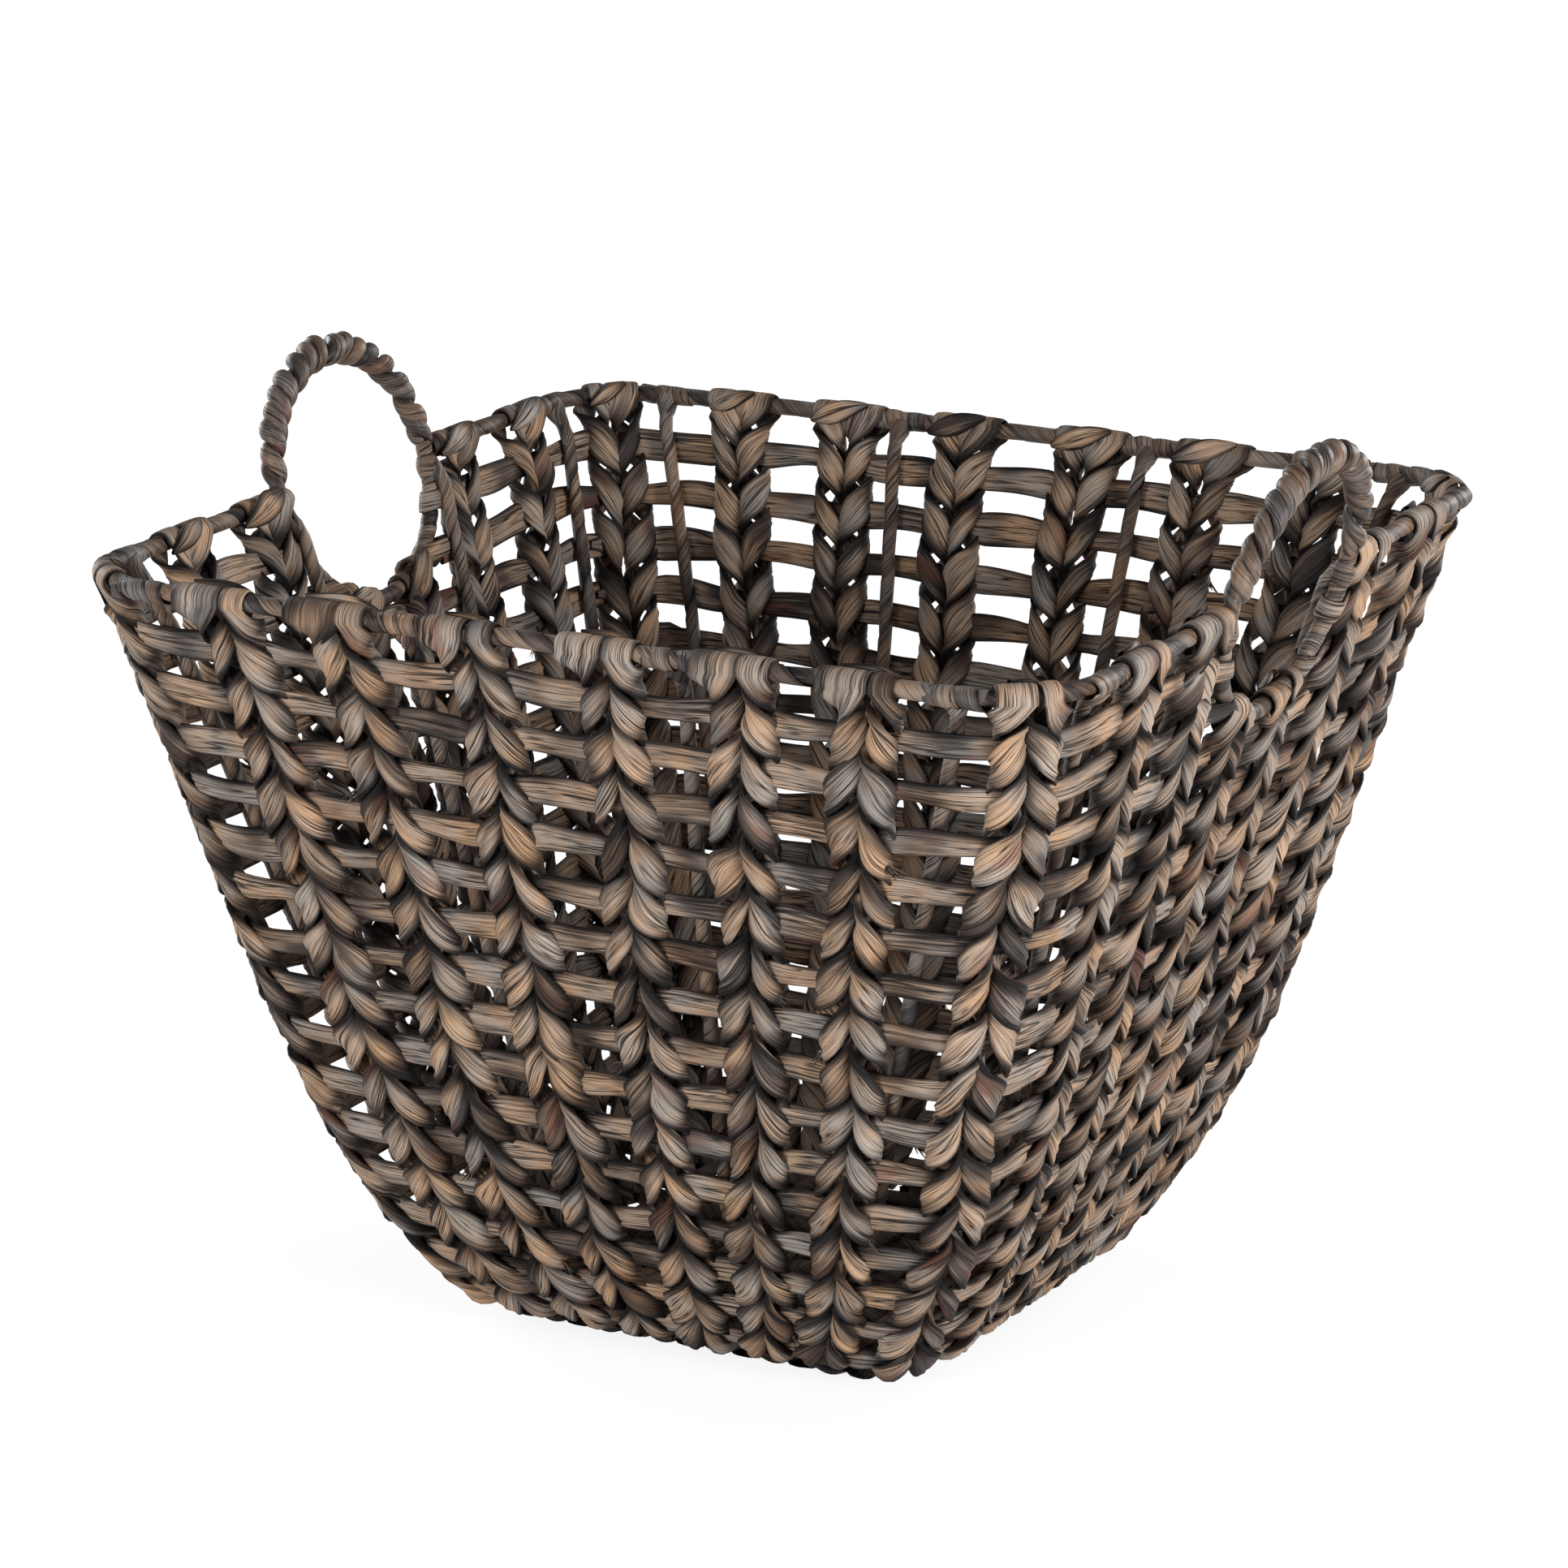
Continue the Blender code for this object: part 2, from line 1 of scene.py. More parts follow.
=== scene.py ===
"""The looks of the water hyacinth basket: every strand, strip and wrap, the finishes, lamps and camera.

Metres, +Z up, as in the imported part. A place on the wall is a station round the basket, a distance down the
wall from the rim wire and a depth out of the rows' middle surface. A station is a share of the way along X, a
share of the way along Y and a turn: the level direction that the wall faces there.
"""

import math

import bpy
import numpy as np
from mathutils import Matrix, Vector


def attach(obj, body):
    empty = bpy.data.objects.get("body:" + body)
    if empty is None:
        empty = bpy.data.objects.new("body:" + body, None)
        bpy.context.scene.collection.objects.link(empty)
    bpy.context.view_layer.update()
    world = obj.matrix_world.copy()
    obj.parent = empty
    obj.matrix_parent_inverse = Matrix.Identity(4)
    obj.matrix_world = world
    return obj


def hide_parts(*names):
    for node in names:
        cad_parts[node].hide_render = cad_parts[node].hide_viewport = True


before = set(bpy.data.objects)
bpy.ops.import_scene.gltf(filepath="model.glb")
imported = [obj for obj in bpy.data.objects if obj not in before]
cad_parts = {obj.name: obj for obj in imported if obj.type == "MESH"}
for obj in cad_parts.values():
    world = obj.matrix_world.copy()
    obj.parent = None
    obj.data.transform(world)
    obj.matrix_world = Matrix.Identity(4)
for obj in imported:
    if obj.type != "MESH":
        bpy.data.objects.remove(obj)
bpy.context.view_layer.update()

MM = 0.001

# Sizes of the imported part
RIM_HALF_LENGTH, RIM_HALF_DEPTH, RIM_HEIGHT = 0.220, 0.212, 0.329
RIM_WIRE_RADIUS, RIM_CORNER_RADIUS = 3.4 * MM, 46 * MM
WALL_LEAN_SHARE, BASE_TUCK, BASE_TUCK_POWER = 0.268, 0.034, 6.5
WALL_LEAN = math.atan(WALL_LEAN_SHARE)
ROW_COUNT, CUT_ROW_COUNT = 15, 2
ROW_HEIGHT, ROW_THICKNESS = 12.5 * MM, 4 * MM
FIRST_ROW_DROP, LAST_ROW_RISE = 22 * MM, 21.4 * MM
ROW_CORNER_RADIUS_TOP, ROW_CORNER_RADIUS_BASE = 43 * MM, 25 * MM
ROW_INSET = (RIM_WIRE_RADIUS - ROW_THICKNESS / 2) / math.cos(WALL_LEAN)
LONG_SIDE_PLAIT_SHARES = (-0.66, -0.41, -0.14, 0.14, 0.41, 0.66)
OUTER_PLAIT_SHARES = (-0.62, 0.67)
HANGING_PLAIT_SHARES = (-0.41, 0.405)
RING_HALF_WIDTH, RING_WIRE_RADIUS, RING_SHIFT = 58 * MM, 3 * MM, 5 * MM
RING_ROW_GAP, RING_PLAIT_GAP = 2.2 * MM, 16 * MM
RING_SIDE_PLAIT_OFFSET = RING_HALF_WIDTH + RING_WIRE_RADIUS + RING_PLAIT_GAP
UPRIGHT_RADIUS, UPRIGHT_BASE_DEPTH = 2.6 * MM, 9.5 * MM
LONG_SIDE_UPRIGHTS = ((-0.83, -0.70), (-0.28, -0.275), (0.28, 0.275), (0.83, 0.70))
OUTER_UPRIGHTS = ((-0.80, -0.69), (0.82, 0.75))
RING_SIDE_UPRIGHT_OFFSET, RING_SIDE_UPRIGHT_SHARE = 58.5 * MM, 0.87
MAT_INSET, MAT_THICKNESS, MAT_CORNER_RADIUS = 6 * MM, 9 * MM, 26 * MM
CLEARANCE = 0.3 * MM

FRONT, RIGHT, BACK, LEFT = -math.pi / 2, 0.0, math.pi / 2, math.pi
SIDES = {"front": FRONT, "right": RIGHT, "back": BACK, "left": LEFT}
Y_ENDS = (("front", -1), ("back", 1))
X_ENDS = (("left", -1), ("right", 1))
UP = np.array([0.0, 0.0, 1.0])


# The wall


def wall_inset(drop):
    return WALL_LEAN_SHARE * RIM_HEIGHT * drop + BASE_TUCK * drop**BASE_TUCK_POWER


def half_sides(drop):
    length = RIM_HALF_LENGTH - ROW_INSET - wall_inset(drop)
    return length, length - (RIM_HALF_LENGTH - RIM_HALF_DEPTH) * (1 - drop)


WALL_DROPS = np.linspace(0, 1, 601)
WALL_HEIGHTS = RIM_HEIGHT * (1 - WALL_DROPS)
WALL_INSETS = wall_inset(WALL_DROPS)
WALL_STEPS = np.hypot(np.diff(WALL_INSETS), np.diff(WALL_HEIGHTS))
WALL_DISTANCES = np.concatenate([[0], np.cumsum(WALL_STEPS)])
WALL_LEANS = np.arctan2(np.gradient(WALL_INSETS), -np.gradient(WALL_HEIGHTS))
ROW_PITCH = (WALL_DISTANCES[-1] - FIRST_ROW_DROP - LAST_ROW_RISE) / (ROW_COUNT - 1)
ROW_DISTANCES = FIRST_ROW_DROP + ROW_PITCH * np.arange(ROW_COUNT)
WHOLE_ROWS_TOP = ROW_DISTANCES[CUT_ROW_COUNT] - ROW_HEIGHT / 2
RING_HALF_HEIGHT = WHOLE_ROWS_TOP - RING_ROW_GAP - RING_WIRE_RADIUS


def drop_at(distance):
    """The drop, which runs on above the rim wire along the wall's lean there."""
    above = np.minimum(distance, 0) * math.cos(WALL_LEAN) / RIM_HEIGHT
    return np.interp(distance, WALL_DISTANCES, WALL_DROPS) + above


def corner_radius(drop):
    return ROW_CORNER_RADIUS_TOP + (ROW_CORNER_RADIUS_BASE - ROW_CORNER_RADIUS_TOP) * drop


def on_basket(station, distance, depth):
    """Points at a station round the basket, a distance down the wall and a depth out of it."""
    along_x, along_y, turn = station
    drop = drop_at(distance)
    length, half_depth = half_sides(np.maximum(drop, 0))
    above = np.minimum(drop, 0) * WALL_LEAN_SHARE * RIM_HEIGHT
    length, half_depth = length - above, half_depth - above
    radius = corner_radius(np.maximum(drop, 0))
    lean = np.interp(drop, WALL_DROPS, WALL_LEANS)
    reach = radius + depth * np.cos(lean)
    x = along_x * (length - radius) + reach * np.cos(turn)
    y = along_y * (half_depth - radius) + reach * np.sin(turn)
    z = RIM_HEIGHT * (1 - drop) - depth * np.sin(lean)
    return np.stack(np.broadcast_arrays(x, y, z), axis=-1)


def station_of(place, distance, aside):
    """The station of a place, moved aside to the right as seen from outside. A place is a side's turn and a
    share of the half side, or a corner's turn and None."""
    turn, share = place
    drop = np.maximum(drop_at(distance), 0)
    length, half_depth = half_sides(drop)
    radius = corner_radius(drop)
    if share is None:
        signs = np.sign(math.cos(turn)), np.sign(math.sin(turn))
        return signs[0], signs[1], turn + aside / radius
    if turn in (FRONT, BACK):
        along = (share * length - math.sin(turn) * aside) / (length - radius)
        return along, math.copysign(1, math.sin(turn)), turn
    along = (share * half_depth + math.cos(turn) * aside) / (half_depth - radius)
    return math.copysign(1, math.cos(turn)), along, turn


def wall_axes(station, distance):
    """Unit vectors out of the wall and to the right at each point."""
    here = on_basket(station, distance, 0.0)
    outward = unit(on_basket(station, distance, MM) - here)
    turn = np.broadcast_to(station[2], here.shape[:-1])
    rightward = np.stack([-np.sin(turn), np.cos(turn), np.zeros_like(turn)], axis=-1)
    return outward, rightward


def unit(vectors):
    return vectors / np.maximum(np.linalg.norm(vectors, axis=-1, keepdims=True), 1e-9)


def lerp(start, end, share):
    return start + (end - start) * share


def smooth(share):
    share = np.clip(share, 0, 1)
    return share * share * (3 - 2 * share)


def wander(rng, place, wavelength):
    """A smooth value between -1 and 1 that wanders along a length."""
    total = 0.0
    for stretch in (0.6, 1.0, 1.7):
        total = total + np.sin(2 * np.pi * place / (wavelength * stretch) + rng.uniform(0, 2 * np.pi))
    return total / 3


def lengths_along(points):
    return np.concatenate([[0], np.cumsum(np.linalg.norm(np.diff(points, axis=0), axis=1))])


# Strands


class Strands:
    """Gathers the strands of one piece: grids of points, the way their fibres run, and the edge and crest
    shares from which the finish paints stain, painted shade and painted highlights.
    """

    def __init__(self, name):
        self.name = name
        self.points, self.faces, self.fibre, self.stain_and_painted_light = [], [], [], []
        self.count = 0
        self.rng = np.random.default_rng([ord(letter) for letter in name])

    def add(self, grid, across, along, edge, crest, closed):
        """A grid has a line of points for each place along the strand. Across and edge have a value for each
        point of a line, and one more where the line is closed. Along and crest have one for each line."""
        lines, columns = grid.shape[:2]
        spans = columns if closed else columns - 1
        line, column = np.meshgrid(np.arange(lines - 1), np.arange(spans), indexing="ij")
        line, column = line.ravel(), column.ravel()
        beyond = (column + 1) % columns
        corners = [(line, column), (line, beyond), (line + 1, beyond), (line + 1, column)]
        faces = np.stack([a * columns + b for a, b in corners], axis=1)
        marks = [(line, column), (line, column + 1), (line + 1, column + 1), (line + 1, column)]
        across, along = across + self.rng.uniform(0, 2), along + self.rng.uniform(0, 4)
        fibre = np.stack([np.stack([across[b], along[a]], axis=1) for a, b in marks], axis=1)
        # Edge and crest go to the finish: strand edges get dark stain and painted shade, high crests a
        # painted highlight and low crests painted shade.
        crest = np.broadcast_to(crest, along.shape)
        stain_and_painted_light = np.stack([np.stack([edge[b], crest[a]], axis=1) for a, b in marks], axis=1)
        if closed and inside_out(grid.reshape(-1, 3), faces):
            faces, fibre, stain_and_painted_light = faces[:, ::-1], fibre[:, ::-1], stain_and_painted_light[:, ::-1]
        self.points.append(grid.reshape(-1, 3))
        self.faces.append(faces + self.count)
        self.fibre.append(fibre.reshape(-1, 2))
        self.stain_and_painted_light.append(stain_and_painted_light.reshape(-1, 2))
        self.count += lines * columns

    def piece(self, nodes, finish):
        mesh = bpy.data.meshes.new(self.name)
        mesh.from_pydata(np.concatenate(self.points).tolist(), [], np.concatenate(self.faces).tolist())
        for layer_name, values in (("Fibre", self.fibre), ("StainAndPaintedLight", self.stain_and_painted_light)):
            layer = mesh.uv_layers.new(name=layer_name)
            layer.uv.foreach_set("vector", np.concatenate(values).astype(np.float32).ravel())
        mesh.polygons.foreach_set("use_smooth", [True] * len(mesh.polygons))
        mesh.materials.append(finish)
        obj = add_object(self.name, mesh)
        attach(obj, "root")
        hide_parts(*nodes)


def add_object(name, data):
    obj = bpy.data.objects.new(name, data)
    bpy.context.scene.collection.objects.link(obj)
    return obj


def inside_out(points, faces):
    corners = points[faces] - points.mean(axis=0)
    volume = np.einsum("ij,ij->i", corners[:, 0], np.cross(corners[:, 1], corners[:, 2])).sum()
    return volume + np.einsum("ij,ij->i", corners[:, 0], np.cross(corners[:, 2], corners[:, 3])).sum() < 0


def oval(columns):
    """The share of the half width and of the half thickness of each point of a flattened oval."""
    angles = 2 * np.pi * np.arange(columns) / columns
    angles = angles + 0.2 * np.sin(2 * angles)
    wide = np.sign(np.cos(angles)) * np.abs(np.cos(angles)) ** 0.9
    thick = np.sign(np.sin(angles)) * np.abs(np.sin(angles)) ** 0.8
    return wide, thick


def girth(wide, thick, width, thickness):
    """How far round an oval each of its points is, and once more where it closes."""
    line = np.column_stack([wide * width / 2, thick * thickness / 2, wide * 0])
    return lengths_along(np.concatenate([line, line[:1]]))


def pleats(rng, wide, thick, along, amount):
    """How much each point of a strand's skin swells or sinks: lengthwise pleats that drift slowly."""
    total = 0.0
    for folds, share in ((0.65, 0.5), (1.2, 0.4), (2.1, 0.32), (3.3, 0.2)):
        drift = rng.uniform(0, 2 * np.pi) + 1.5 * wander(rng, along, 70 * MM)
        total = total + share * np.sin(2 * np.pi * folds * wide[None] + drift[:, None])
    amount = np.broadcast_to(amount, along.shape)
    return thick[None] * (1 + amount[:, None] * total * np.abs(thick)[None] ** 0.5)


def add_strand(strands, middles, facings, widths, thicknesses, crest, columns=20, pleat=0.2, level=None):
    """A soft flat strand along its middles, whose flat side faces as given. Where it has a level direction,
    its width lies along that and not square to its own run."""
    runs = unit(np.gradient(middles, axis=0))
    if level is not None:
        runs = unit(runs - level * np.einsum("ij,ij->i", runs, unit(level))[:, None])
    wides = unit(np.cross(runs, facings))
    facings = np.cross(wides, runs)
    along = lengths_along(middles)
    wide, thick = oval(columns)
    rise = pleats(strands.rng, wide, thick, along, pleat)
    grid = middles[:, None] + wides[:, None] * (wide[None] * widths[:, None] / 2)[..., None]
    grid = grid + facings[:, None] * (rise * thicknesses[:, None] / 2)[..., None]
    across = girth(wide, thick, widths.max(), thicknesses.max())
    edge = np.abs(np.append(wide, wide[0]))
    strands.add(grid, across, along, edge, crest, True)


# Plaits: two pairs of strands, each pair one folded strand that hangs from a wire and twines round the rows

PAIR_OFFSET_TOP, PAIR_OFFSET_BASE = 6.9 * MM, 6.2 * MM
SWING_TOP, SWING_BASE = 5.1 * MM, 4.6 * MM
STRAND_WIDTH_TOP, STRAND_WIDTH_BASE = 12.6 * MM, 11.9 * MM
STRAND_THICKNESS, FOLD_THICKNESS = 4.0 * MM, 1.7 * MM
PAIR_WANDER, DEPTH_WANDER, ROW_WANDER = 0.9 * MM, 0.5 * MM, 1.5 * MM
STEPS_A_ROW = 12
TAIL_ROWS = 0.62  # how far past the last row a leg runs, in rows
TAIL_TUCK = 9 * MM
FOLD_ROWS, FLAT_ROWS = 0.75, 0.62  # how far below the wire a leg still lies beside it and flat, in rows
CROSSING_SHARPNESS = 0.92
CROSSING_WIDTH = 0.72  # of the width of the leaf that shows at a row
LEAF_SPREAD, LEAF_SIZES = 0.21, (0.64, 1.45)
LEG_LEAN, LEAN_WANDER = 0.62, 0.25
FLOOR_GAP = 0.4 * MM
FIBRE_COUNT, FIBRE_POINTS = 7, 5
SWAY = 1.1 * MM
LEG_PLEAT, FOLD_PLEAT = 0.30, 0.07
BAR_LIFT, BAR_TIP_WIDTH = 0.8 * MM, 2.5 * MM
BAR_THICKNESSES = (1.2 * MM, 2.6 * MM)
LEFT_FOLD_WIDTH, LEFT_FOLD_ASIDE = 22.5 * MM, 9.6 * MM
RIGHT_FOLD_WIDTH, RIGHT_FOLD_ASIDE = 13 * MM, 7.2 * MM
NARROW_FOLD = 0.75  # a fold on a corner or a ring, as a share of one on a straight wire
WIRE_DEPTH = ROW_INSET * math.cos(WALL_LEAN)
WRAP_THICKNESS = 0.9 * MM


def pair_strand(strands, place, hand, over, hitch, lobes, sway):
    """One leg of a pair, from the wire down. Over is 1 for the leg that starts outside, -1 for the other.
    A hitch gives the wire's distance down the wall, its slope, depth and radius, and how wide and how far
    aside the fold lies on it. Lobes is the number of rows that the leg crosses."""
    rng = strands.rng
    counts = np.linspace(0, lobes + TAIL_ROWS, int((lobes + TAIL_ROWS) * STEPS_A_ROW))
    distances = np.concatenate([[hitch["distance"]], ROW_DISTANCES[-lobes:], [ROW_DISTANCES[-1] + ROW_PITCH]])
    distances[1:-1] += rng.normal(0, ROW_WANDER, lobes)
    distance = np.interp(counts, np.arange(lobes + 2), distances)
    drop = np.maximum(drop_at(distance), 0)
    near_wire = 1 - smooth(counts / FOLD_ROWS)
    flat = 1 - smooth(counts / FLAT_ROWS)
    phase = np.where(counts < 1, np.maximum(counts, 1e-6) ** 1.25, counts)
    swing = lerp(SWING_TOP, SWING_BASE, drop) * (1 + 0.35 * wander(rng, counts, 2.4))
    offset = lerp(PAIR_OFFSET_TOP, PAIR_OFFSET_BASE, drop) + PAIR_WANDER * wander(rng, counts, 4.0)
    offset = lerp(offset, hitch["aside"], near_wire)
    cross = np.arcsin(CROSSING_SHARPNESS * np.sin(np.pi * counts)) / math.asin(CROSSING_SHARPNESS)
    aside = hand * (offset + over * swing * cross) + sway(counts) * (1 - near_wire)
    distance = distance + hitch["slope"] * aside * near_wire
    beat = np.cos(np.pi * phase)
    through = np.sign(beat) * np.abs(beat) ** 0.72
    part = np.clip(counts + 0.5 - np.round(counts), 0, 1)
    leaf = np.sin(np.pi * part**1.12) ** 0.7
    sizes = np.clip(rng.normal(1, LEAF_SPREAD, lobes + 3), *LEAF_SIZES)
    widths = lerp(STRAND_WIDTH_TOP, STRAND_WIDTH_BASE, drop) * lerp(CROSSING_WIDTH, 1, leaf)
    widths = widths * np.interp(counts, np.arange(lobes + 3), sizes)
    widths = lerp(widths, hitch["width"], flat**1.3)
    thicknesses = STRAND_THICKNESS * lerp(1.05, 0.92, leaf)
    thicknesses = lerp(thicknesses, FOLD_THICKNESS, near_wire)
    reach = ROW_THICKNESS / 2 + 0.1 * MM + STRAND_THICKNESS * 0.46
    reach = lerp(reach, hitch["radius"] + FOLD_THICKNESS / 2, near_wire)
    depth = over * through * reach + hitch["depth"] * (1 - smooth(counts))
    depth = depth + DEPTH_WANDER * wander(rng, counts, 2.1) * (1 - near_wire)
    turned_in = smooth((counts - lobes - 0.1) / (TAIL_ROWS - 0.1))
    station = station_of(place, distance, aside)
    middles = on_basket(station, distance, depth - TAIL_TUCK * turned_in)
    outward, rightward = wall_axes(station, distance)
    level = unit(rightward - hitch["slope"] * np.cross(outward, rightward)) * near_wire[:, None]
    lean = LEG_LEAN + LEAN_WANDER * wander(rng, counts, 2.6)
    facings = outward * (over * (beat + flat))[:, None]
    facings = facings + rightward * (lean * hand * over * np.sin(np.pi * phase) * (1 - flat))[:, None]
    middles[:, 2] = np.maximum(middles[:, 2], thicknesses / 2 + FLOOR_GAP)
    widths = widths * (1 - 0.6 * turned_in)
    # Painted light: each leaf is painted lighter in its middle as a highlight and darker as shade where it
    # dives under a row; the turned-in ends get a steady middle value.
    crest = lerp(lerp(0.15, 1, leaf), 0.6, turned_in)
    pleat = lerp(LEG_PLEAT, FOLD_PLEAT, near_wire)
    return middles, facings, widths, thicknesses, crest, pleat, level


def add_pair(strands, place, hand, hitch, lobes, sway):
    """A folded strand over a wire: up its outer leg, over the wire and down its inner leg."""
    outer = pair_strand(strands, place, hand, 1, hitch, lobes, sway)
    inner = pair_strand(strands, place, hand, -1, hitch, lobes, sway)
    first, last = outer[0][0], inner[0][0]
    middle, half = (first + last) / 2, (first - last) / 2
    up = unit(np.cross(half, np.cross(UP, half))) * np.linalg.norm(half)
    angles = np.linspace(0, np.pi, 9)[1:-1]
    fold = middle + half * np.cos(angles)[:, None] + up * np.sin(angles)[:, None]
    steady = np.ones(len(angles))
    level = np.tile(outer[-1][0], (len(angles), 1))
    widths, thicknesses = steady * hitch["width"], steady * FOLD_THICKNESS
    over = (fold, unit(fold - middle), widths, thicknesses, steady, steady * FOLD_PLEAT, level)
    parts = [np.concatenate([a[::-1], b, c]) for a, b, c in zip(outer, over, inner)]
    middles, facings, widths, thicknesses, crest, pleat, level = parts
    add_strand(strands, middles, facings, widths, thicknesses, crest, pleat=pleat, level=level)


def add_hitch_bar(strands, place, hitch):
    """The lens-shaped wrap that runs aslant inside the wire, over the tops of both pairs."""
    shares = np.linspace(0, 1, 22)
    angles = lerp(0.74 * np.pi, 1.20 * np.pi, shares)
    radius = hitch["radius"] + FOLD_THICKNESS + BAR_LIFT
    aside = lerp(-0.6, 0.66, shares) * hitch["width"]
    along_wire = hitch["distance"] + hitch["slope"] * aside
    distance = along_wire - radius * np.sin(angles)
    depth = hitch["depth"] + radius * np.cos(angles)
    station = station_of(place, hitch["distance"], aside)
    middles = on_basket(station, distance, depth)
    wire = on_basket(station, along_wire, hitch["depth"])
    lens = np.sin(np.pi * shares)
    widths = lerp(BAR_TIP_WIDTH, 0.46 * hitch["width"], lens**0.8)
    thicknesses = lerp(*BAR_THICKNESSES, lens)
    # Painted light: the bar is painted lighter in its swollen middle as a highlight and darker at its thin
    # tips as shade.
    crest = lerp(0.25, 1.0, lens)
    add_strand(strands, middles, middles - wire, widths, thicknesses, crest, pleat=0.08)


def add_tuft(strands, place, row, side):
    """A few torn fibres that stand out beside a plait where a strand was spliced."""
    rng = strands.rng
    distance = np.full(1, ROW_DISTANCES[row] + ROW_PITCH * 0.5)
    station = station_of(place, distance, side * (PAIR_OFFSET_TOP + SWING_TOP))
    (root,) = on_basket(station, distance, 1.5 * MM)
    outward, rightward = (axis[0] for axis in wall_axes(station, distance))
    shares = np.linspace(0, 1, FIBRE_POINTS)
    facings = np.tile(outward, (FIBRE_POINTS, 1))
    bunch = outward * rng.uniform(0.1, 0.5) + rightward * side * rng.uniform(0.3, 0.8)
    bunch = bunch - UP * rng.uniform(0.2, 1.0)
    for _ in range(FIBRE_COUNT):
        way = unit(unit(bunch) + rng.normal(0, 0.2, 3))
        middles = root + rng.normal(0, 0.6 * MM, 3) + way * rng.uniform(4, 8) * MM * shares[:, None]
        widths = lerp(1.2 * MM, 0.3 * MM, shares)
        add_strand(strands, middles, facings, widths, widths * 0.6, 0.3, columns=6, pleat=0.0)


def ring_distance(y):
    """How far down the wall the lower half of a handle ring is at a place along it."""
    return RING_HALF_HEIGHT * math.sqrt(1 - ((y - RING_SHIFT) / RING_HALF_WIDTH) ** 2)


def add_plait(name, place, finish, hangs_at=None):
    strands = Strands(f"{name}_strands")
    rng = strands.rng
    wire = {"distance": 0.0, "slope": 0.0, "depth": WIRE_DEPTH, "radius": RIM_WIRE_RADIUS + WRAP_THICKNESS}
    lobes = ROW_COUNT
    if hangs_at is not None:
        rise = ring_distance(hangs_at + MM) - ring_distance(hangs_at - MM)
        wire["slope"] = rise / (2 * MM) * math.cos(place[0])
        wire["distance"], wire["radius"] = ring_distance(hangs_at), RING_WIRE_RADIUS + WRAP_THICKNESS
        lobes = ROW_COUNT - CUT_ROW_COUNT
    sizes = rng.normal(1, 0.1, 2)
    narrow = NARROW_FOLD if place[1] is None or hangs_at is not None else 1.0
    left = {**wire, "width": LEFT_FOLD_WIDTH * sizes[0] * narrow, "aside": LEFT_FOLD_ASIDE * narrow}
    right = {**wire, "width": RIGHT_FOLD_WIDTH * sizes[1] * narrow, "aside": RIGHT_FOLD_ASIDE * narrow}
    phases = rng.uniform(0, 2 * np.pi, 2)

    def sway(counts):
        return SWAY * (np.sin(counts / 1.6 + phases[0]) + np.sin(counts / 0.7 + phases[1]))

    add_pair(strands, place, -1, left, lobes, sway)
    add_pair(strands, place, 1, right, lobes, sway)
    add_hitch_bar(strands, place, left)
    for _ in range(rng.integers(1, 4)):
        add_tuft(strands, place, int(rng.integers(ROW_COUNT - lobes + 1, ROW_COUNT - 1)), rng.choice((-1, 1)))
    strands.piece([name], finish)


def plait_places():
    """The name, the place and, where it hangs from a ring, the distance along the ring of every plait."""
    half_depth = half_sides(0.0)[1]
    inner = [RING_HALF_WIDTH * share for share in HANGING_PLAIT_SHARES]
    offsets = [-RING_SIDE_PLAIT_OFFSET, *inner, RING_SIDE_PLAIT_OFFSET]
    handle_side = [(RING_SHIFT + offset) / half_depth for offset in offsets]
    handle_side = [OUTER_PLAIT_SHARES[0], *handle_side, OUTER_PLAIT_SHARES[1]]
    for side, turn in SIDES.items():
        shares = handle_side if turn in (LEFT, RIGHT) else LONG_SIDE_PLAIT_SHARES
        for number, share in enumerate(shares, 1):
            hangs = turn in (LEFT, RIGHT) and number in (3, 4)
            yield f"plait_{side}_{number}", (turn, share), share * half_depth if hangs else None
    for end, end_sign in Y_ENDS:
        for side, side_sign in X_ENDS:
            yield f"plait_corner_{end}_{side}", (math.atan2(end_sign, side_sign), None), None


# Rows: flat strips, pinched where a plait holds them

ROW_STATION_GAP = 3.6 * MM
CORNER_STATIONS, LAP_STATIONS = 11, 9
HELD_ROW_HEIGHT = 9.2 * MM
PINCH_REACH = 10.5 * MM
LEAST_ROW_HEIGHT, MOST_ROW_HEIGHT = 8.5 * MM, 17 * MM
ROW_END_RUN, ROW_BACK_RUN = 20 * MM, 22 * MM
ROW_END_WALL = 1.6 * MM
ROW_END_THICKNESSES = (2.6 * MM, 1.5 * MM)
LOW_ROW_COUNT, LOW_ROW_PLAY = 3, 0.4


def stations_round(distance):
    """Stations anticlockwise round the basket from the back left corner and a little past it again."""
    drop = float(drop_at(distance))
    length, half_depth = half_sides(drop)
    radius = corner_radius(drop)
    stations = []
    corners = [(-1, 1), (-1, -1), (1, -1), (1, 1), (-1, 1)]
    for (x_sign, y_sign), (next_x, next_y) in zip(corners, corners[1:]):
        middle_turn = math.atan2(y_sign, x_sign) % (2 * math.pi)
        arc = np.linspace(middle_turn - math.pi / 4, middle_turn + math.pi / 4, CORNER_STATIONS)
        stations += [(x_sign, y_sign, turn) for turn in arc]
        run = 2 * ((half_depth if x_sign == next_x else length) - radius)
        steps = max(int(run / ROW_STATION_GAP), 2)
        for share in np.linspace(0, 1, steps)[1:-1]:
            stations.append((lerp(x_sign, next_x, share), lerp(y_sign, next_y, share), arc[-1]))
    stations += stations[:LAP_STATIONS]
    return np.array(stations)


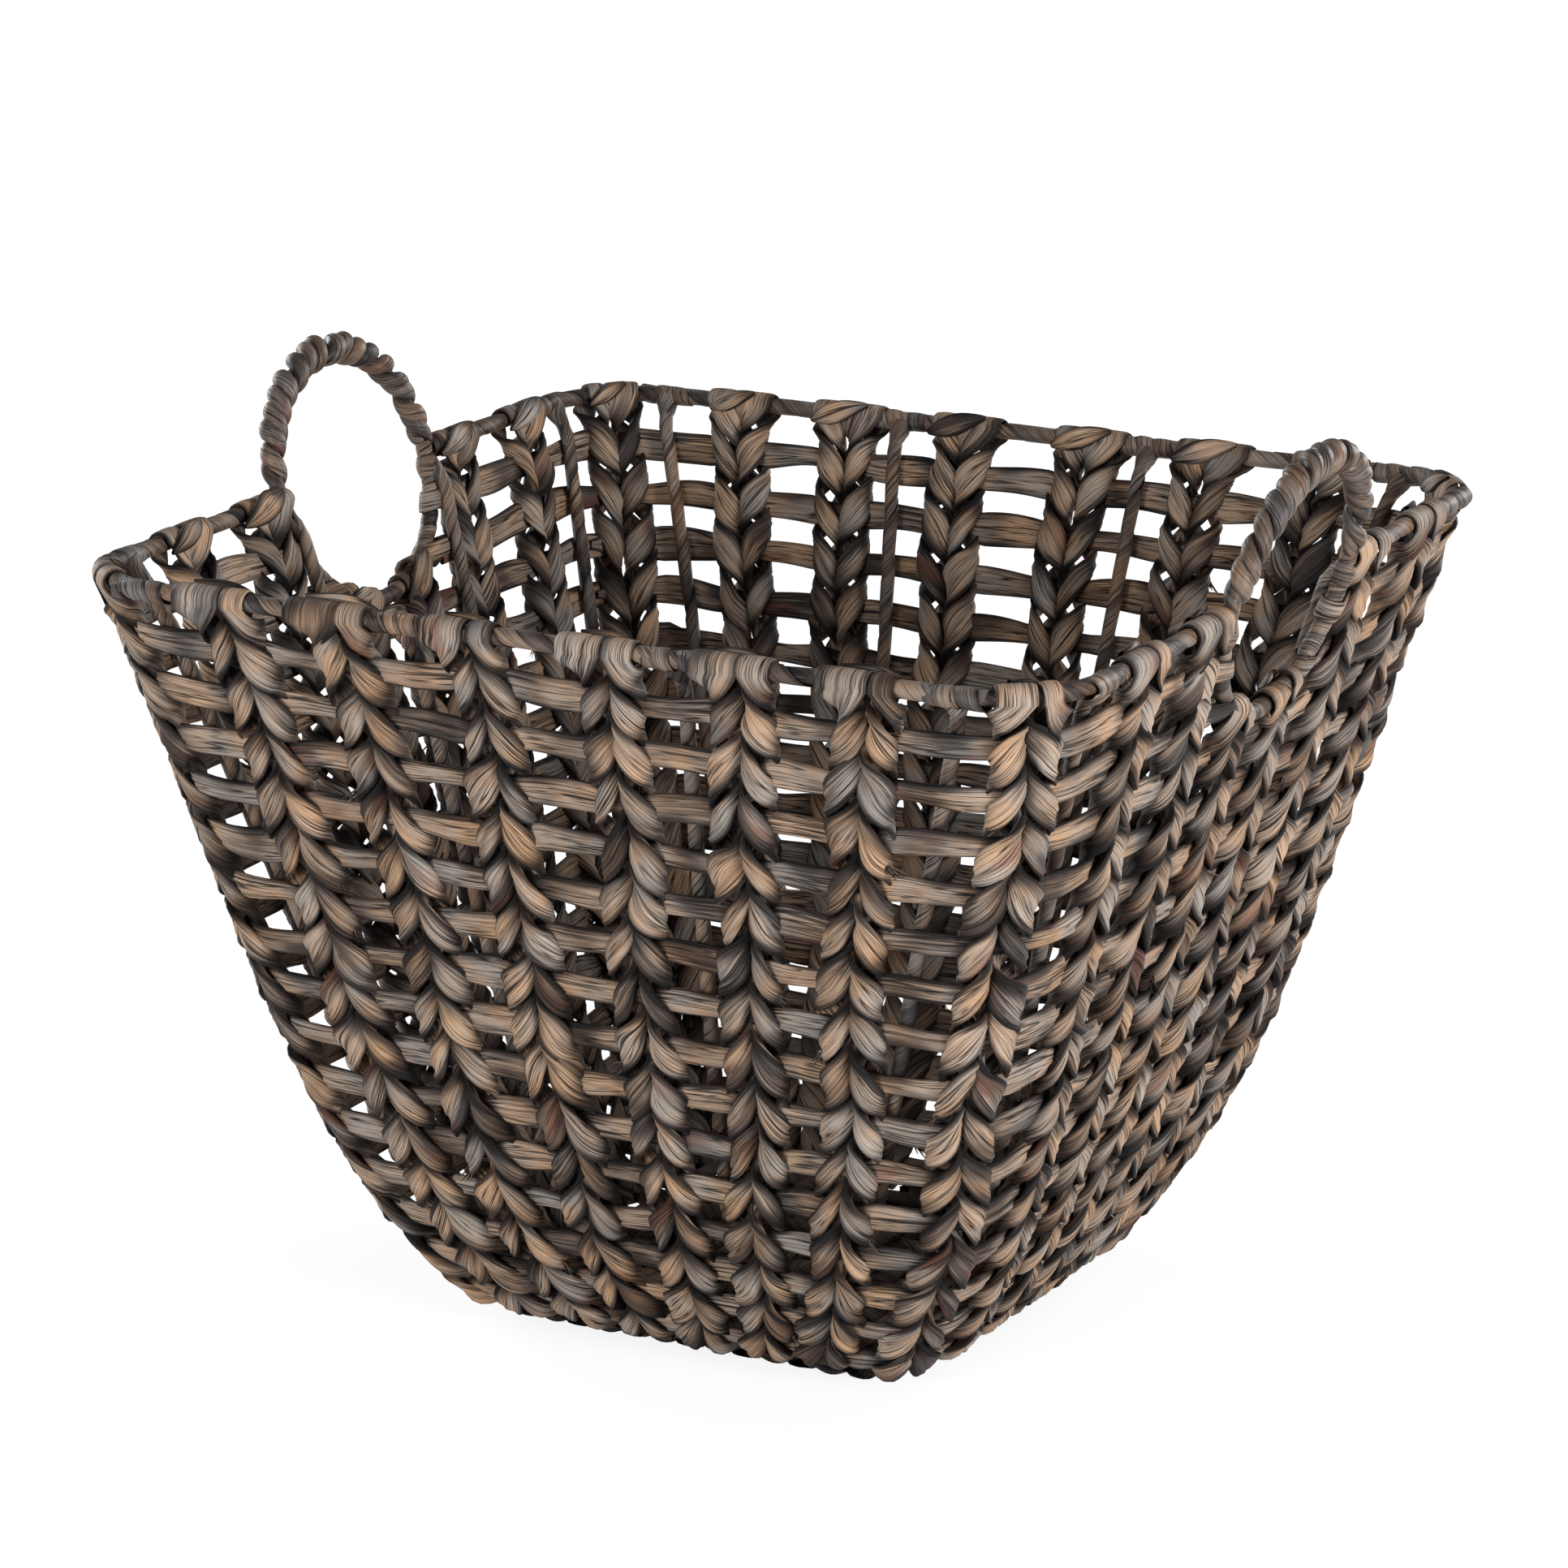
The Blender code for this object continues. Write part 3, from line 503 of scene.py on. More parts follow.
def row_pinch(points, centres):
    """How much each point of a row is held in by the nearest plait, from 0 to 1."""
    gaps = np.linalg.norm(points[:, None] - centres[None], axis=2).min(axis=1)
    return np.exp(-((gaps / PINCH_REACH) ** 4))


def plait_centres(distance, hanging):
    """Where each plait crosses a row. Hanging plaits don't reach the cut rows."""
    return np.array([
        on_basket(station_of(place, distance, 0.0), distance, 0.0)
        for _, place, hangs_at in plait_places()
        if hanging or hangs_at is None
    ])


def strip_skin():
    """A row strip's oval, how far round it each point is and how near the strip's edges."""
    wide, thick = oval(20)
    return wide, thick, girth(wide, thick, ROW_HEIGHT, ROW_THICKNESS), np.abs(np.append(wide, wide[0]))


def add_strip(strands, station, distance, depth, heights, thicknesses, crest):
    """A flat strip along stations of the wall."""
    along_x, along_y, turn = (station[:, i, None] for i in range(3))
    wide, thick, across, edge = strip_skin()
    along = lengths_along(on_basket(tuple(station.T), distance, depth))
    rise = pleats(strands.rng, wide, thick, along, 0.3)
    down = distance[:, None] + wide[None] * heights[:, None] / 2
    out = depth[:, None] + rise * thicknesses[:, None] / 2
    strands.add(on_basket((along_x, along_y, turn), down, out), across, along, edge, crest, True)


def row_shape(rng, row, along, pinch):
    """How high, thick, far down and far out a row's strip is at each place: uneven between the plaits."""
    heights = ROW_HEIGHT * rng.normal(0.95, 0.05) * (1 + 0.38 * wander(rng, along, 130 * MM))
    heights = lerp(np.clip(heights, LEAST_ROW_HEIGHT, MOST_ROW_HEIGHT), HELD_ROW_HEIGHT, pinch)
    thicknesses = ROW_THICKNESS * (0.92 + 0.14 * wander(rng, along, 80 * MM)) * (1 - 0.2 * pinch)
    play = 1 if row < ROW_COUNT - LOW_ROW_COUNT else LOW_ROW_PLAY
    shift = (wander(rng, along, 190 * MM) + 1.5 * (1 - pinch) * wander(rng, along, 90 * MM)) * MM * play
    depth = 0.8 * MM * wander(rng, along, 100 * MM) * (1 - pinch)
    return heights, thicknesses, shift, depth


def row_course(rng, row, station, hanging):
    """How far along a row each of its stations is, how much it is held in there, and its shape."""
    distance = ROW_DISTANCES[row]
    middles = on_basket(tuple(station.T), distance, 0.0)
    along = lengths_along(middles)
    pinch = row_pinch(middles, plait_centres(distance, hanging))
    return along, pinch, *row_shape(rng, row, along, pinch)


def add_whole_row(name, row, finish):
    """A row all the way round, whose end lies behind its beginning."""
    strands = Strands(f"{name}_strip")
    distance = ROW_DISTANCES[row]
    station = stations_round(distance)
    along, pinch, heights, thicknesses, shift, depth = row_course(strands.rng, row, station, True)
    from_end = np.minimum(along, along[-1] - along)
    heights = heights * lerp(0.4, 1, smooth(from_end / (14 * MM)))
    behind = lerp(1.6 * MM, -2.2 * MM, smooth((along - along[-1] + 40 * MM) / (30 * MM)))
    depth = depth + behind * (1 - smooth(from_end / (34 * MM)))
    # The crest is 1 - pinch: the row is painted darker as shade where a plait holds it in.
    add_strip(strands, station, distance + shift, depth, heights, thicknesses, 1 - pinch)
    strands.piece([name], finish)


def add_cut_row(name, row, end_sign, finish):
    """A row on one half of the basket. Each end goes round a leg of a handle ring and back inside the row."""
    strands = Strands(f"{name}_strip")
    distance = ROW_DISTANCES[row]
    station = stations_round(distance)[:-LAP_STATIONS]
    side = station[:, 1] * end_sign > 0
    drop = float(drop_at(distance))
    half_depth = half_sides(drop)[1] - corner_radius(drop)
    leg = RING_SHIFT * end_sign + RING_HALF_WIDTH * math.sqrt(1 - (distance / RING_HALF_HEIGHT) ** 2)
    keep = (station[:, 1] * end_sign * half_depth > leg + 12 * MM) & side
    first = int(np.argmax(~keep))
    station = np.roll(station, -first, axis=0)[np.roll(keep, -first)]
    along, pinch, heights, thicknesses, shift, depth = row_course(strands.rng, row, station, False)
    inner = smooth(np.minimum(along, along[-1] - along) / (30 * MM))
    heights = lerp(ROW_HEIGHT, heights, inner)
    # The crest is 1 - pinch: the row is painted darker as shade where a plait holds it in.
    add_strip(strands, station, distance + shift * inner, depth * inner, heights, thicknesses, 1 - pinch)
    for x_sign in (-1, 1):
        add_row_end(strands, x_sign, end_sign, distance, half_depth)
    strands.piece([name], finish)


def add_row_end(strands, x_sign, y_sign, distance, half_depth):
    """The end of a cut row: out over a leg of the ring, round it and back along the inside."""
    wide, thick, across, edge = strip_skin()
    turn = RIGHT if x_sign > 0 else LEFT
    radius = RING_WIRE_RADIUS + ROW_END_WALL
    counts = np.linspace(-1, 2, 34)
    angles = np.pi * np.clip(counts, 0, 1)
    out_run = lerp(ROW_END_RUN, 0, smooth(counts + 1)) * (counts < 0)
    back_run = np.maximum(counts - 1, 0) * ROW_BACK_RUN
    away = -radius * np.sin(angles) + out_run + back_run
    depth = WIRE_DEPTH + radius * np.cos(angles)
    depth = depth - (counts < 0) * smooth(-counts) * (radius + WIRE_DEPTH - 0.6 * MM)
    depth = depth + np.maximum(counts - 1, 0) * 0.8 * MM
    heights = ROW_HEIGHT * lerp(0.98, 0.68, smooth(counts + 1)) * lerp(1, 0.85, smooth(counts - 1))
    raised = max(distance + 0.34 * ROW_HEIGHT - 0.86 * RING_HALF_HEIGHT, 0) * smooth(counts + 1)
    down = (distance - raised)[:, None] + wide[None] * heights[:, None] / 2
    leg = RING_HALF_WIDTH * np.sqrt(1 - np.clip(down / RING_HALF_HEIGHT, 0, 0.985) ** 2)
    y = RING_SHIFT + y_sign * (leg + away[:, None])
    thickness = lerp(*ROW_END_THICKNESSES, smooth(counts + 1))
    steps = np.gradient(np.stack([away, depth], axis=1), axis=0)
    normal = unit(np.stack([-steps[:, 1], steps[:, 0]], axis=1))
    y = y - y_sign * normal[:, :1] * thick[None] * thickness[:, None] / 2
    out = depth[:, None] - normal[:, 1:] * thick[None] * thickness[:, None] / 2
    grid = on_basket((math.copysign(1, x_sign), y / half_depth, turn), down, out)
    along = lengths_along(grid[:, 0])
    # Painted shade: the end is darker where it comes out of the row, and lighter where it wraps the ring.
    strands.add(grid, across, along, edge, lerp(0.55, 0.9, smooth(counts + 1)), True)


# Wires and what is wound on them


def carried_sides(points):
    """Two unit vectors square to a path and to each other, carried along it with no twist."""
    runs = unit(np.gradient(points, axis=0))
    side = unit(np.cross(runs[0], np.array([0.31, 0.52, 0.80])))
    sides = [side]
    for run in runs[1:]:
        side = unit(side - run * np.dot(side, run))
        sides.append(side)
    sides = np.array(sides)
    return sides, np.cross(runs, sides)


def along_path(values, lengths, places):
    return np.stack([np.interp(places, lengths, values[:, i]) for i in range(3)], axis=-1)


def turned(sides, others, angles):
    """The direction at each angle from one side towards the other."""
    return sides * np.cos(angles)[..., None] + others * np.sin(angles)[..., None]


def away_from_path(points, lengths, places, angles):
    """The direction away from a path at each place along it, at an angle round it."""
    return turned(*(along_path(side, lengths, places) for side in carried_sides(points)), angles)


CORE_SIDES = 8
STRIP_THICKNESS = 0.2 * MM
WIRE_POINT_GAP = 4 * MM
RIM_WRAP_PITCH, RING_WRAP_PITCH, COIL_PITCH = 27 * MM, 6.5 * MM, 19.5 * MM
UPRIGHT_WRAP_PITCH, UPRIGHT_TOP_PITCH = 24 * MM, 8.5 * MM
COIL_SINK, COIL_BULGE = 1.2 * MM, 4.4 * MM
UPRIGHT_LAST_ROW = 12  # how far down the wall an upright runs before its bend
UPRIGHT_BEND, UPRIGHT_TOP_TUCK, UPRIGHT_TOP_RUN = 14 * MM, 6 * MM, 15 * MM
COLLAR_START, COLLAR_END, COLLAR_RADIUS, COLLAR_ASIDE = 1 * MM, 17 * MM, 5.2 * MM, 13 * MM


def add_core(strands, points, radius):
    """A round wire under its wrap."""
    sides, others = carried_sides(points)
    angles = 2 * np.pi * np.arange(CORE_SIDES) / CORE_SIDES
    grid = points[:, None] + turned(sides[:, None], others[:, None], angles) * radius
    # Painted shade: the core shows only between the winds, and its high edge and low crest paint it dark.
    across, edge = np.arange(CORE_SIDES + 1) * 2 * MM, np.full(CORE_SIDES + 1, 0.9)
    strands.add(grid, across, lengths_along(points), edge, 0.1, True)


def add_winding(
    strands, points, radius, pitch, cover, lift, bulge,
    columns=5, steps=18, uneven=0.15, hand=1, lead=0.0, ends=(1, 1, 1, 1, 1),
):
    """A strip wound round a wire. Cover is its width as a share of the pitch, lift how far its outer edge
    rides on the turn before and bulge how far its middle swells. Steps are those of one turn. Hand is -1
    for a left-handed turn, lead the share of a turn that it starts at and ends its swell at five places."""
    rng = strands.rng
    lengths = lengths_along(points)
    turns = lengths[-1] / pitch
    counts = np.linspace(0, turns, int(turns * steps) + 1)
    place = counts * pitch + uneven * pitch * wander(rng, counts, 3.7)
    shares = np.linspace(-0.5, 0.5, columns)
    swell = 1 + uneven * wander(rng, counts, 0.8)
    swell = swell * np.interp(counts / turns, (0.0, 0.25, 0.5, 0.75, 1.0), ends)
    width = pitch * cover * (1 + 0.6 * uneven * wander(rng, counts, 2.9))
    places = np.clip(place[:, None] + width[:, None] * shares[None], 0, lengths[-1])
    crown = np.sqrt(np.maximum(1 - (2 * shares) ** 2, 0))
    rise = lift * (0.5 + shares)[None] + bulge * crown[None] * swell[:, None]
    tips = smooth(np.minimum(counts, turns - counts) / 0.3)
    reach = radius + STRIP_THICKNESS + rise * lerp(0.4, 1, tips)[:, None]
    around = unit(away_from_path(points, lengths, places, hand * 2 * np.pi * (counts[:, None] + lead)))
    grid = along_path(points, lengths, places) + around * reach[..., None]
    along = counts * 2 * np.pi * (radius + bulge)
    across = shares * pitch * cover
    # The strip's edges, where one turn meets the next, are painted darker with stain and painted shade.
    strands.add(grid, across, along, np.abs(2 * shares), np.full(len(counts), 0.8), False)


def add_cuff(strands, points, radius, bulge, columns=9, steps=22):
    """A wide band wound once round a wire, with its fibres running round."""
    shares = np.linspace(0, 1, columns)
    lengths = lengths_along(points)
    places = shares * lengths[-1]
    angles = np.linspace(0, 2 * np.pi, steps)
    swell = radius + bulge * np.sin(np.pi * shares)
    swell = swell[None] * (1 + 0.03 * wander(strands.rng, angles, 3.0))[:, None]
    around = away_from_path(points, lengths, places, angles[:, None])
    grid = along_path(points, lengths, places)[None] + around * swell[..., None]
    # The band is painted darker towards both ends with stain and painted shade, where it meets the wrap.
    edge = np.abs(2 * shares - 1) ** 2
    strands.add(grid, places, angles * radius, edge, np.full(steps, 0.8), False)


def ring_point(x_sign, turn):
    """A point of a handle ring's middle line. The turn is 0 at the back end and grows over the top."""
    upward = RING_HALF_HEIGHT * np.sin(turn)
    x = x_sign * (RIM_HALF_LENGTH + upward * math.sin(WALL_LEAN))
    y = RING_SHIFT + RING_HALF_WIDTH * np.cos(turn)
    return np.stack(np.broadcast_arrays(x, y, RIM_HEIGHT + upward * math.cos(WALL_LEAN)), axis=-1)


def rim_path(end_sign):
    """The middle of one half of the rim wire, between the handle rings."""
    end = RING_SHIFT + end_sign * (RING_HALF_WIDTH + RING_WIRE_RADIUS)
    inner_length, inner_depth = RIM_HALF_LENGTH - RIM_CORNER_RADIUS, RIM_HALF_DEPTH - RIM_CORNER_RADIUS
    points = [np.array([[end_sign * RIM_HALF_LENGTH, end]])]
    for x_sign in (end_sign, -end_sign):
        middle = math.atan2(end_sign, x_sign)
        turns = np.linspace(middle - math.pi / 4, middle + math.pi / 4, 12)
        arc = np.stack([np.cos(turns), np.sin(turns)], axis=1) * RIM_CORNER_RADIUS
        points.append(arc + np.array([x_sign * inner_length, end_sign * inner_depth]))
    points.append(np.array([[-end_sign * RIM_HALF_LENGTH, end]]))
    flat = np.concatenate(points)
    return evenly(np.column_stack([flat, np.full(len(flat), RIM_HEIGHT)]), WIRE_POINT_GAP)


def evenly(points, gap):
    lengths = lengths_along(points)
    places = np.linspace(0, lengths[-1], max(int(lengths[-1] / gap), 4))
    return along_path(points, lengths, places)


def add_rim_wire(name, end_sign, finish):
    strands = Strands(f"{name}_wrapped")
    points = rim_path(end_sign)
    add_core(strands, points, RIM_WIRE_RADIUS - 0.6 * MM)
    wrap_radius = RIM_WIRE_RADIUS - 0.5 * MM
    add_winding(strands, points, wrap_radius, RIM_WRAP_PITCH, 1.16, 0.6 * MM, 0.25 * MM, steps=26, uneven=0.2)
    for part in (points[:4], points[-4:]):
        add_cuff(strands, part, RIM_WIRE_RADIUS + 0.5 * MM, 1.6 * MM)
    strands.piece([name], finish)


def add_ring(side, x_sign, finish):
    strands = Strands(f"handle_ring_{side}_wrapped")
    radius = RING_WIRE_RADIUS - 0.3 * MM
    add_core(strands, ring_point(x_sign, np.linspace(0, 2 * np.pi, 97)), radius)
    low = ring_point(x_sign, np.linspace(-1.02 * np.pi, 0.02 * np.pi, 60))
    add_winding(strands, low, radius, RING_WRAP_PITCH, 1.35, 0.7 * MM, 0.4 * MM, uneven=0.3)
    for middle in (-0.045 * np.pi, -0.955 * np.pi):
        part = ring_point(x_sign, np.linspace(middle - 0.10, middle + 0.10, 6))
        add_cuff(strands, part, RING_WIRE_RADIUS + 0.6 * MM, 1.5 * MM)
    strands.piece([f"handle_ring_{side}"], finish)


def add_coil(side, x_sign, finish):
    """The thick strand wound round the upper half of a handle ring."""
    strands = Strands(f"handle_coil_{side}")
    points = ring_point(x_sign, np.linspace(0.005 * np.pi, 0.995 * np.pi, 140))
    for lead in (0.0, 0.5):
        add_winding(
            strands, points, RING_WIRE_RADIUS - COIL_SINK, COIL_PITCH, 0.58, 0.4 * MM, COIL_BULGE,
            columns=13, steps=40, uneven=0.2, hand=-1, lead=lead, ends=(0.7, 0.95, 1.18, 0.95, 0.7),
        )
    strands.piece([f"handle_winding_{side}"], finish)


def upright_leg(turn, rim_share, base_share, floor):
    """One leg of an upright, from the rim wire down to where it lies on the base."""
    distance = np.linspace(0, ROW_DISTANCES[UPRIGHT_LAST_ROW], 60)
    share = lerp(rim_share, base_share, distance / ROW_DISTANCES[-1])
    rim_depth = ROW_THICKNESS / 2 + CLEARANCE + UPRIGHT_RADIUS
    depth = lerp(rim_depth, UPRIGHT_BASE_DEPTH, distance / ROW_DISTANCES[-1])
    depth = depth - UPRIGHT_TOP_TUCK * (1 - smooth(distance / UPRIGHT_TOP_RUN))
    points = np.array([
        on_basket(station_of((turn, s), d, 0.0), d, -out) for s, d, out in zip(share, distance, depth)
    ])
    down = unit(points[-1] - points[-3])
    corner = points[-1] + down * ((points[-1, 2] - floor) / -down[2])
    inward = -np.array([math.cos(turn), math.sin(turn), 0.0])
    before, after = corner - down * UPRIGHT_BEND, corner + inward * UPRIGHT_BEND
    bend = np.linspace(0, 1, 9)[:, None]
    arc = (1 - bend) ** 2 * before + 2 * bend * (1 - bend) * corner + bend**2 * after
    return np.concatenate([points[points[:, 2] > before[2] + MM], arc])


def add_tube(strands, points, radii, crest, twist=0.0, columns=14):
    """A round wrap along points, with its fibres running along it, or aslant where it has a twist."""
    sides, others = carried_sides(points)
    angles = 2 * np.pi * np.arange(columns) / columns
    along = lengths_along(points)
    rings = turned(sides[:, None], others[:, None], angles[None] + twist * along[:, None])
    swell = radii[:, None] * (1 + 0.05 * wander(strands.rng, angles[None], 2.1))
    grid = points[:, None] + rings * swell[..., None]
    across = np.arange(columns + 1) / columns * 2 * np.pi * radii.max()
    strands.add(grid, across, along, np.full(columns + 1, 0.3), crest, True)


def add_upright_top(strands, turn, share, leg):
    """Where an upright meets the rim: its wrap widens and runs on round the rim."""
    collar = along_path(leg, lengths_along(leg), np.linspace(COLLAR_START, COLLAR_END, 12))
    spread = 1 - smooth(np.linspace(0, 1, 12))
    add_tube(strands, collar, lerp(UPRIGHT_RADIUS - 0.3 * MM, COLLAR_RADIUS, spread**1.2), 0.6, twist=120)
    aside = np.linspace(-COLLAR_ASIDE, COLLAR_ASIDE, 9)
    on_rim = np.array([on_basket(station_of((turn, share), 0.0, float(a)), 0.0, WIRE_DEPTH) for a in aside])
    add_winding(
        strands, on_rim, RIM_WIRE_RADIUS, UPRIGHT_TOP_PITCH, 1.3, 0.6 * MM, 0.5 * MM,
        uneven=0.4, ends=(0.3, 1, 1.6, 1, 0.3),
    )


def add_upright(name, turns, rim_share, base_share, floor, under_rim, finish):
    strands = Strands(f"{name}_wrapped")
    legs = [upright_leg(turn, rim_share, base_share, floor) for turn in turns]
    points = evenly(np.concatenate([legs[0], legs[1][::-1]]), WIRE_POINT_GAP)
    radius = UPRIGHT_RADIUS - 0.4 * MM
    add_core(strands, points, radius)
    add_winding(strands, points, radius, UPRIGHT_WRAP_PITCH, 1.15, 0.7 * MM, 0.3 * MM, steps=24, uneven=0.12)
    if under_rim:
        for turn, leg in zip(turns, legs):
            add_upright_top(strands, turn, rim_share, leg)
    strands.piece([name], finish)


def add_uprights(finish):
    half_depth = half_sides(0.0)[1]
    offsets = (-RING_SIDE_UPRIGHT_OFFSET, RING_SIDE_UPRIGHT_OFFSET)
    beside = [(RING_SHIFT + offset) / half_depth for offset in offsets]
    inner = [(share, share * RING_SIDE_UPRIGHT_SHARE) for share in beside]
    floor = MAT_THICKNESS + CLEARANCE + UPRIGHT_RADIUS
    for number, shares in enumerate((OUTER_UPRIGHTS[0], *inner, OUTER_UPRIGHTS[1]), 1):
        under_rim = shares in OUTER_UPRIGHTS
        add_upright(f"upright_left_to_right_{number}", (LEFT, RIGHT), *shares, floor, under_rim, finish)
    floor += 2 * UPRIGHT_RADIUS + CLEARANCE
    for number, shares in enumerate(LONG_SIDE_UPRIGHTS, 1):
        add_upright(f"upright_front_to_back_{number}", (FRONT, BACK), *shares, floor, True, finish)


# Base mat: flat strips woven over and under each other

MAT_STRIPS, MAT_STRIP_POINTS = 15, 70
MAT_STRIP_THICKNESS, MAT_WAVE = 3.6 * MM, 2.0 * MM


def add_base_mat(finish):
    strands = Strands("base_mat_weave")
    half = half_sides(1 - MAT_THICKNESS / RIM_HEIGHT)[0] - MAT_INSET
    pitch = 2 * half / MAT_STRIPS
    middle_height = MAT_THICKNESS / 2
    for direction in (0, 1):
        for number in range(MAT_STRIPS):
            offset = -half + (number + 0.5) * pitch
            inset = max(abs(offset) + pitch / 2 - (half - MAT_CORNER_RADIUS), 0)
            inset = MAT_CORNER_RADIUS - math.sqrt(max(MAT_CORNER_RADIUS**2 - inset**2, 0))
            run = np.linspace(-half + inset, half - inset, MAT_STRIP_POINTS)
            wave = np.cos(np.pi * (run + half - pitch / 2) / pitch) * (1 if (number + direction) % 2 else -1)
            height = middle_height + MAT_WAVE * wave
            level = offset + 0.4 * MM * wander(strands.rng, run, 60 * MM)
            plan = (run, level) if direction == 0 else (level, run)
            middles = np.stack([*plan, height], axis=1)
            facings = np.tile(UP, (MAT_STRIP_POINTS, 1))
            widths = np.full(MAT_STRIP_POINTS, pitch * 0.94)
            thicknesses = np.full(MAT_STRIP_POINTS, MAT_STRIP_THICKNESS)
            # Painted light: each strip is painted lighter where it rides over a crossing strip and darker as
            # shade where it dips under one.
            crest = 0.5 + 0.3 * wave
            add_strand(strands, middles, facings, widths, thicknesses, crest, columns=10, pleat=0.1)
    strands.piece(["base_mat"], finish)


# Finishes


class Shade:
    """A value or colour in a finish. Arithmetic on a value becomes Math nodes."""

    def __init__(self, finish, socket):
        self.finish, self.socket = finish, socket

    def __add__(self, other):
        return self.finish.maths("ADD", self, other)

    __radd__ = __add__

    def __sub__(self, other):
        return self.finish.maths("SUBTRACT", self, other)

    def __rsub__(self, other):
        return self.finish.maths("SUBTRACT", other, self)

    def __mul__(self, other):
        return self.finish.maths("MULTIPLY", self, other)

    __rmul__ = __mul__


class Finish:
    """A material made of nodes round one Principled shader."""

    def __init__(self, name):
        self.material = bpy.data.materials.new(name)
        self.material.use_nodes = True
        self.tree = self.material.node_tree
        self.shader = self.tree.nodes["Principled BSDF"]

    def feed(self, socket, value):
        if isinstance(value, Shade):
            self.tree.links.new(value.socket, socket)
        else:
            socket.default_value = value

    def node(self, kind, settings, inputs, output=0):
        node = self.tree.nodes.new("ShaderNode" + kind)
        for key, value in settings.items():
            setattr(node, key, value)
        for key, value in inputs.items():
            self.feed(node.inputs[key], value)
        return Shade(self, node.outputs[output])

    def maths(self, operation, first, second):
        return self.node("Math", {"operation": operation}, {0: first, 1: second})

    def rise(self, value, low, high):
        """0 below low, 1 above high and smooth between."""
        sockets = {"Value": value, "From Min": low, "From Max": high}
        return self.node("MapRange", {"interpolation_type": "SMOOTHSTEP"}, sockets)

    def line(self, value, half_width):
        """1 on thin lines where the value passes a half, and 0 away from them."""
        off = self.maths("ABSOLUTE", value - 0.5, 0.0)
        return 1 - self.rise(off, 0.0, half_width)

    def mix(self, share, first, second):
        """From the first colour to the second. Each is three numbers or comes from a node."""
        first, second = ((*c, 1) if isinstance(c, tuple) else c for c in (first, second))
        return self.node("Mix", {"data_type": "RGBA"}, {0: share, 6: first, 7: second}, 2)

    def noise(self, vector, across, along, detail=1.0, roughness=0.5):
        """Noise with so many cycles a metre across and along the fibres."""
        stretched = self.node("Mapping", {}, {"Vector": vector, "Scale": (across, along, 1)})
        sockets = {"Vector": stretched, "Scale": 1.0, "Detail": detail, "Roughness": roughness}
        return self.node("TexNoise", {"noise_dimensions": "2D"}, sockets)

    def set(self, **values):
        for name, value in values.items():
            self.feed(self.shader.inputs[name.replace("_", " ")], value)


CHARCOAL = (0.0045, 0.0036, 0.0032)
GREY_BROWN = (0.0272, 0.0240, 0.0234)
WARM_BROWN = (0.0455, 0.0262, 0.0166)
KHAKI = (0.247, 0.219, 0.195)
TAN = (0.350, 0.217, 0.128)
RUST = (0.095, 0.034, 0.020)
# How far the painted highlight on the crests reaches the tan, the roughness and the specular level
LOOKS = {
    "plait_strands": (0.85, 0.50, 0.11),
    "row_strips": (0.72, 0.52, 0.11),
    "wire_wraps": (0.46, 0.38, 0.20),
    "handle_strands": (0.27, 0.34, 0.22),
    "mat_strips": (0.5, 0.60, 0.2),
}


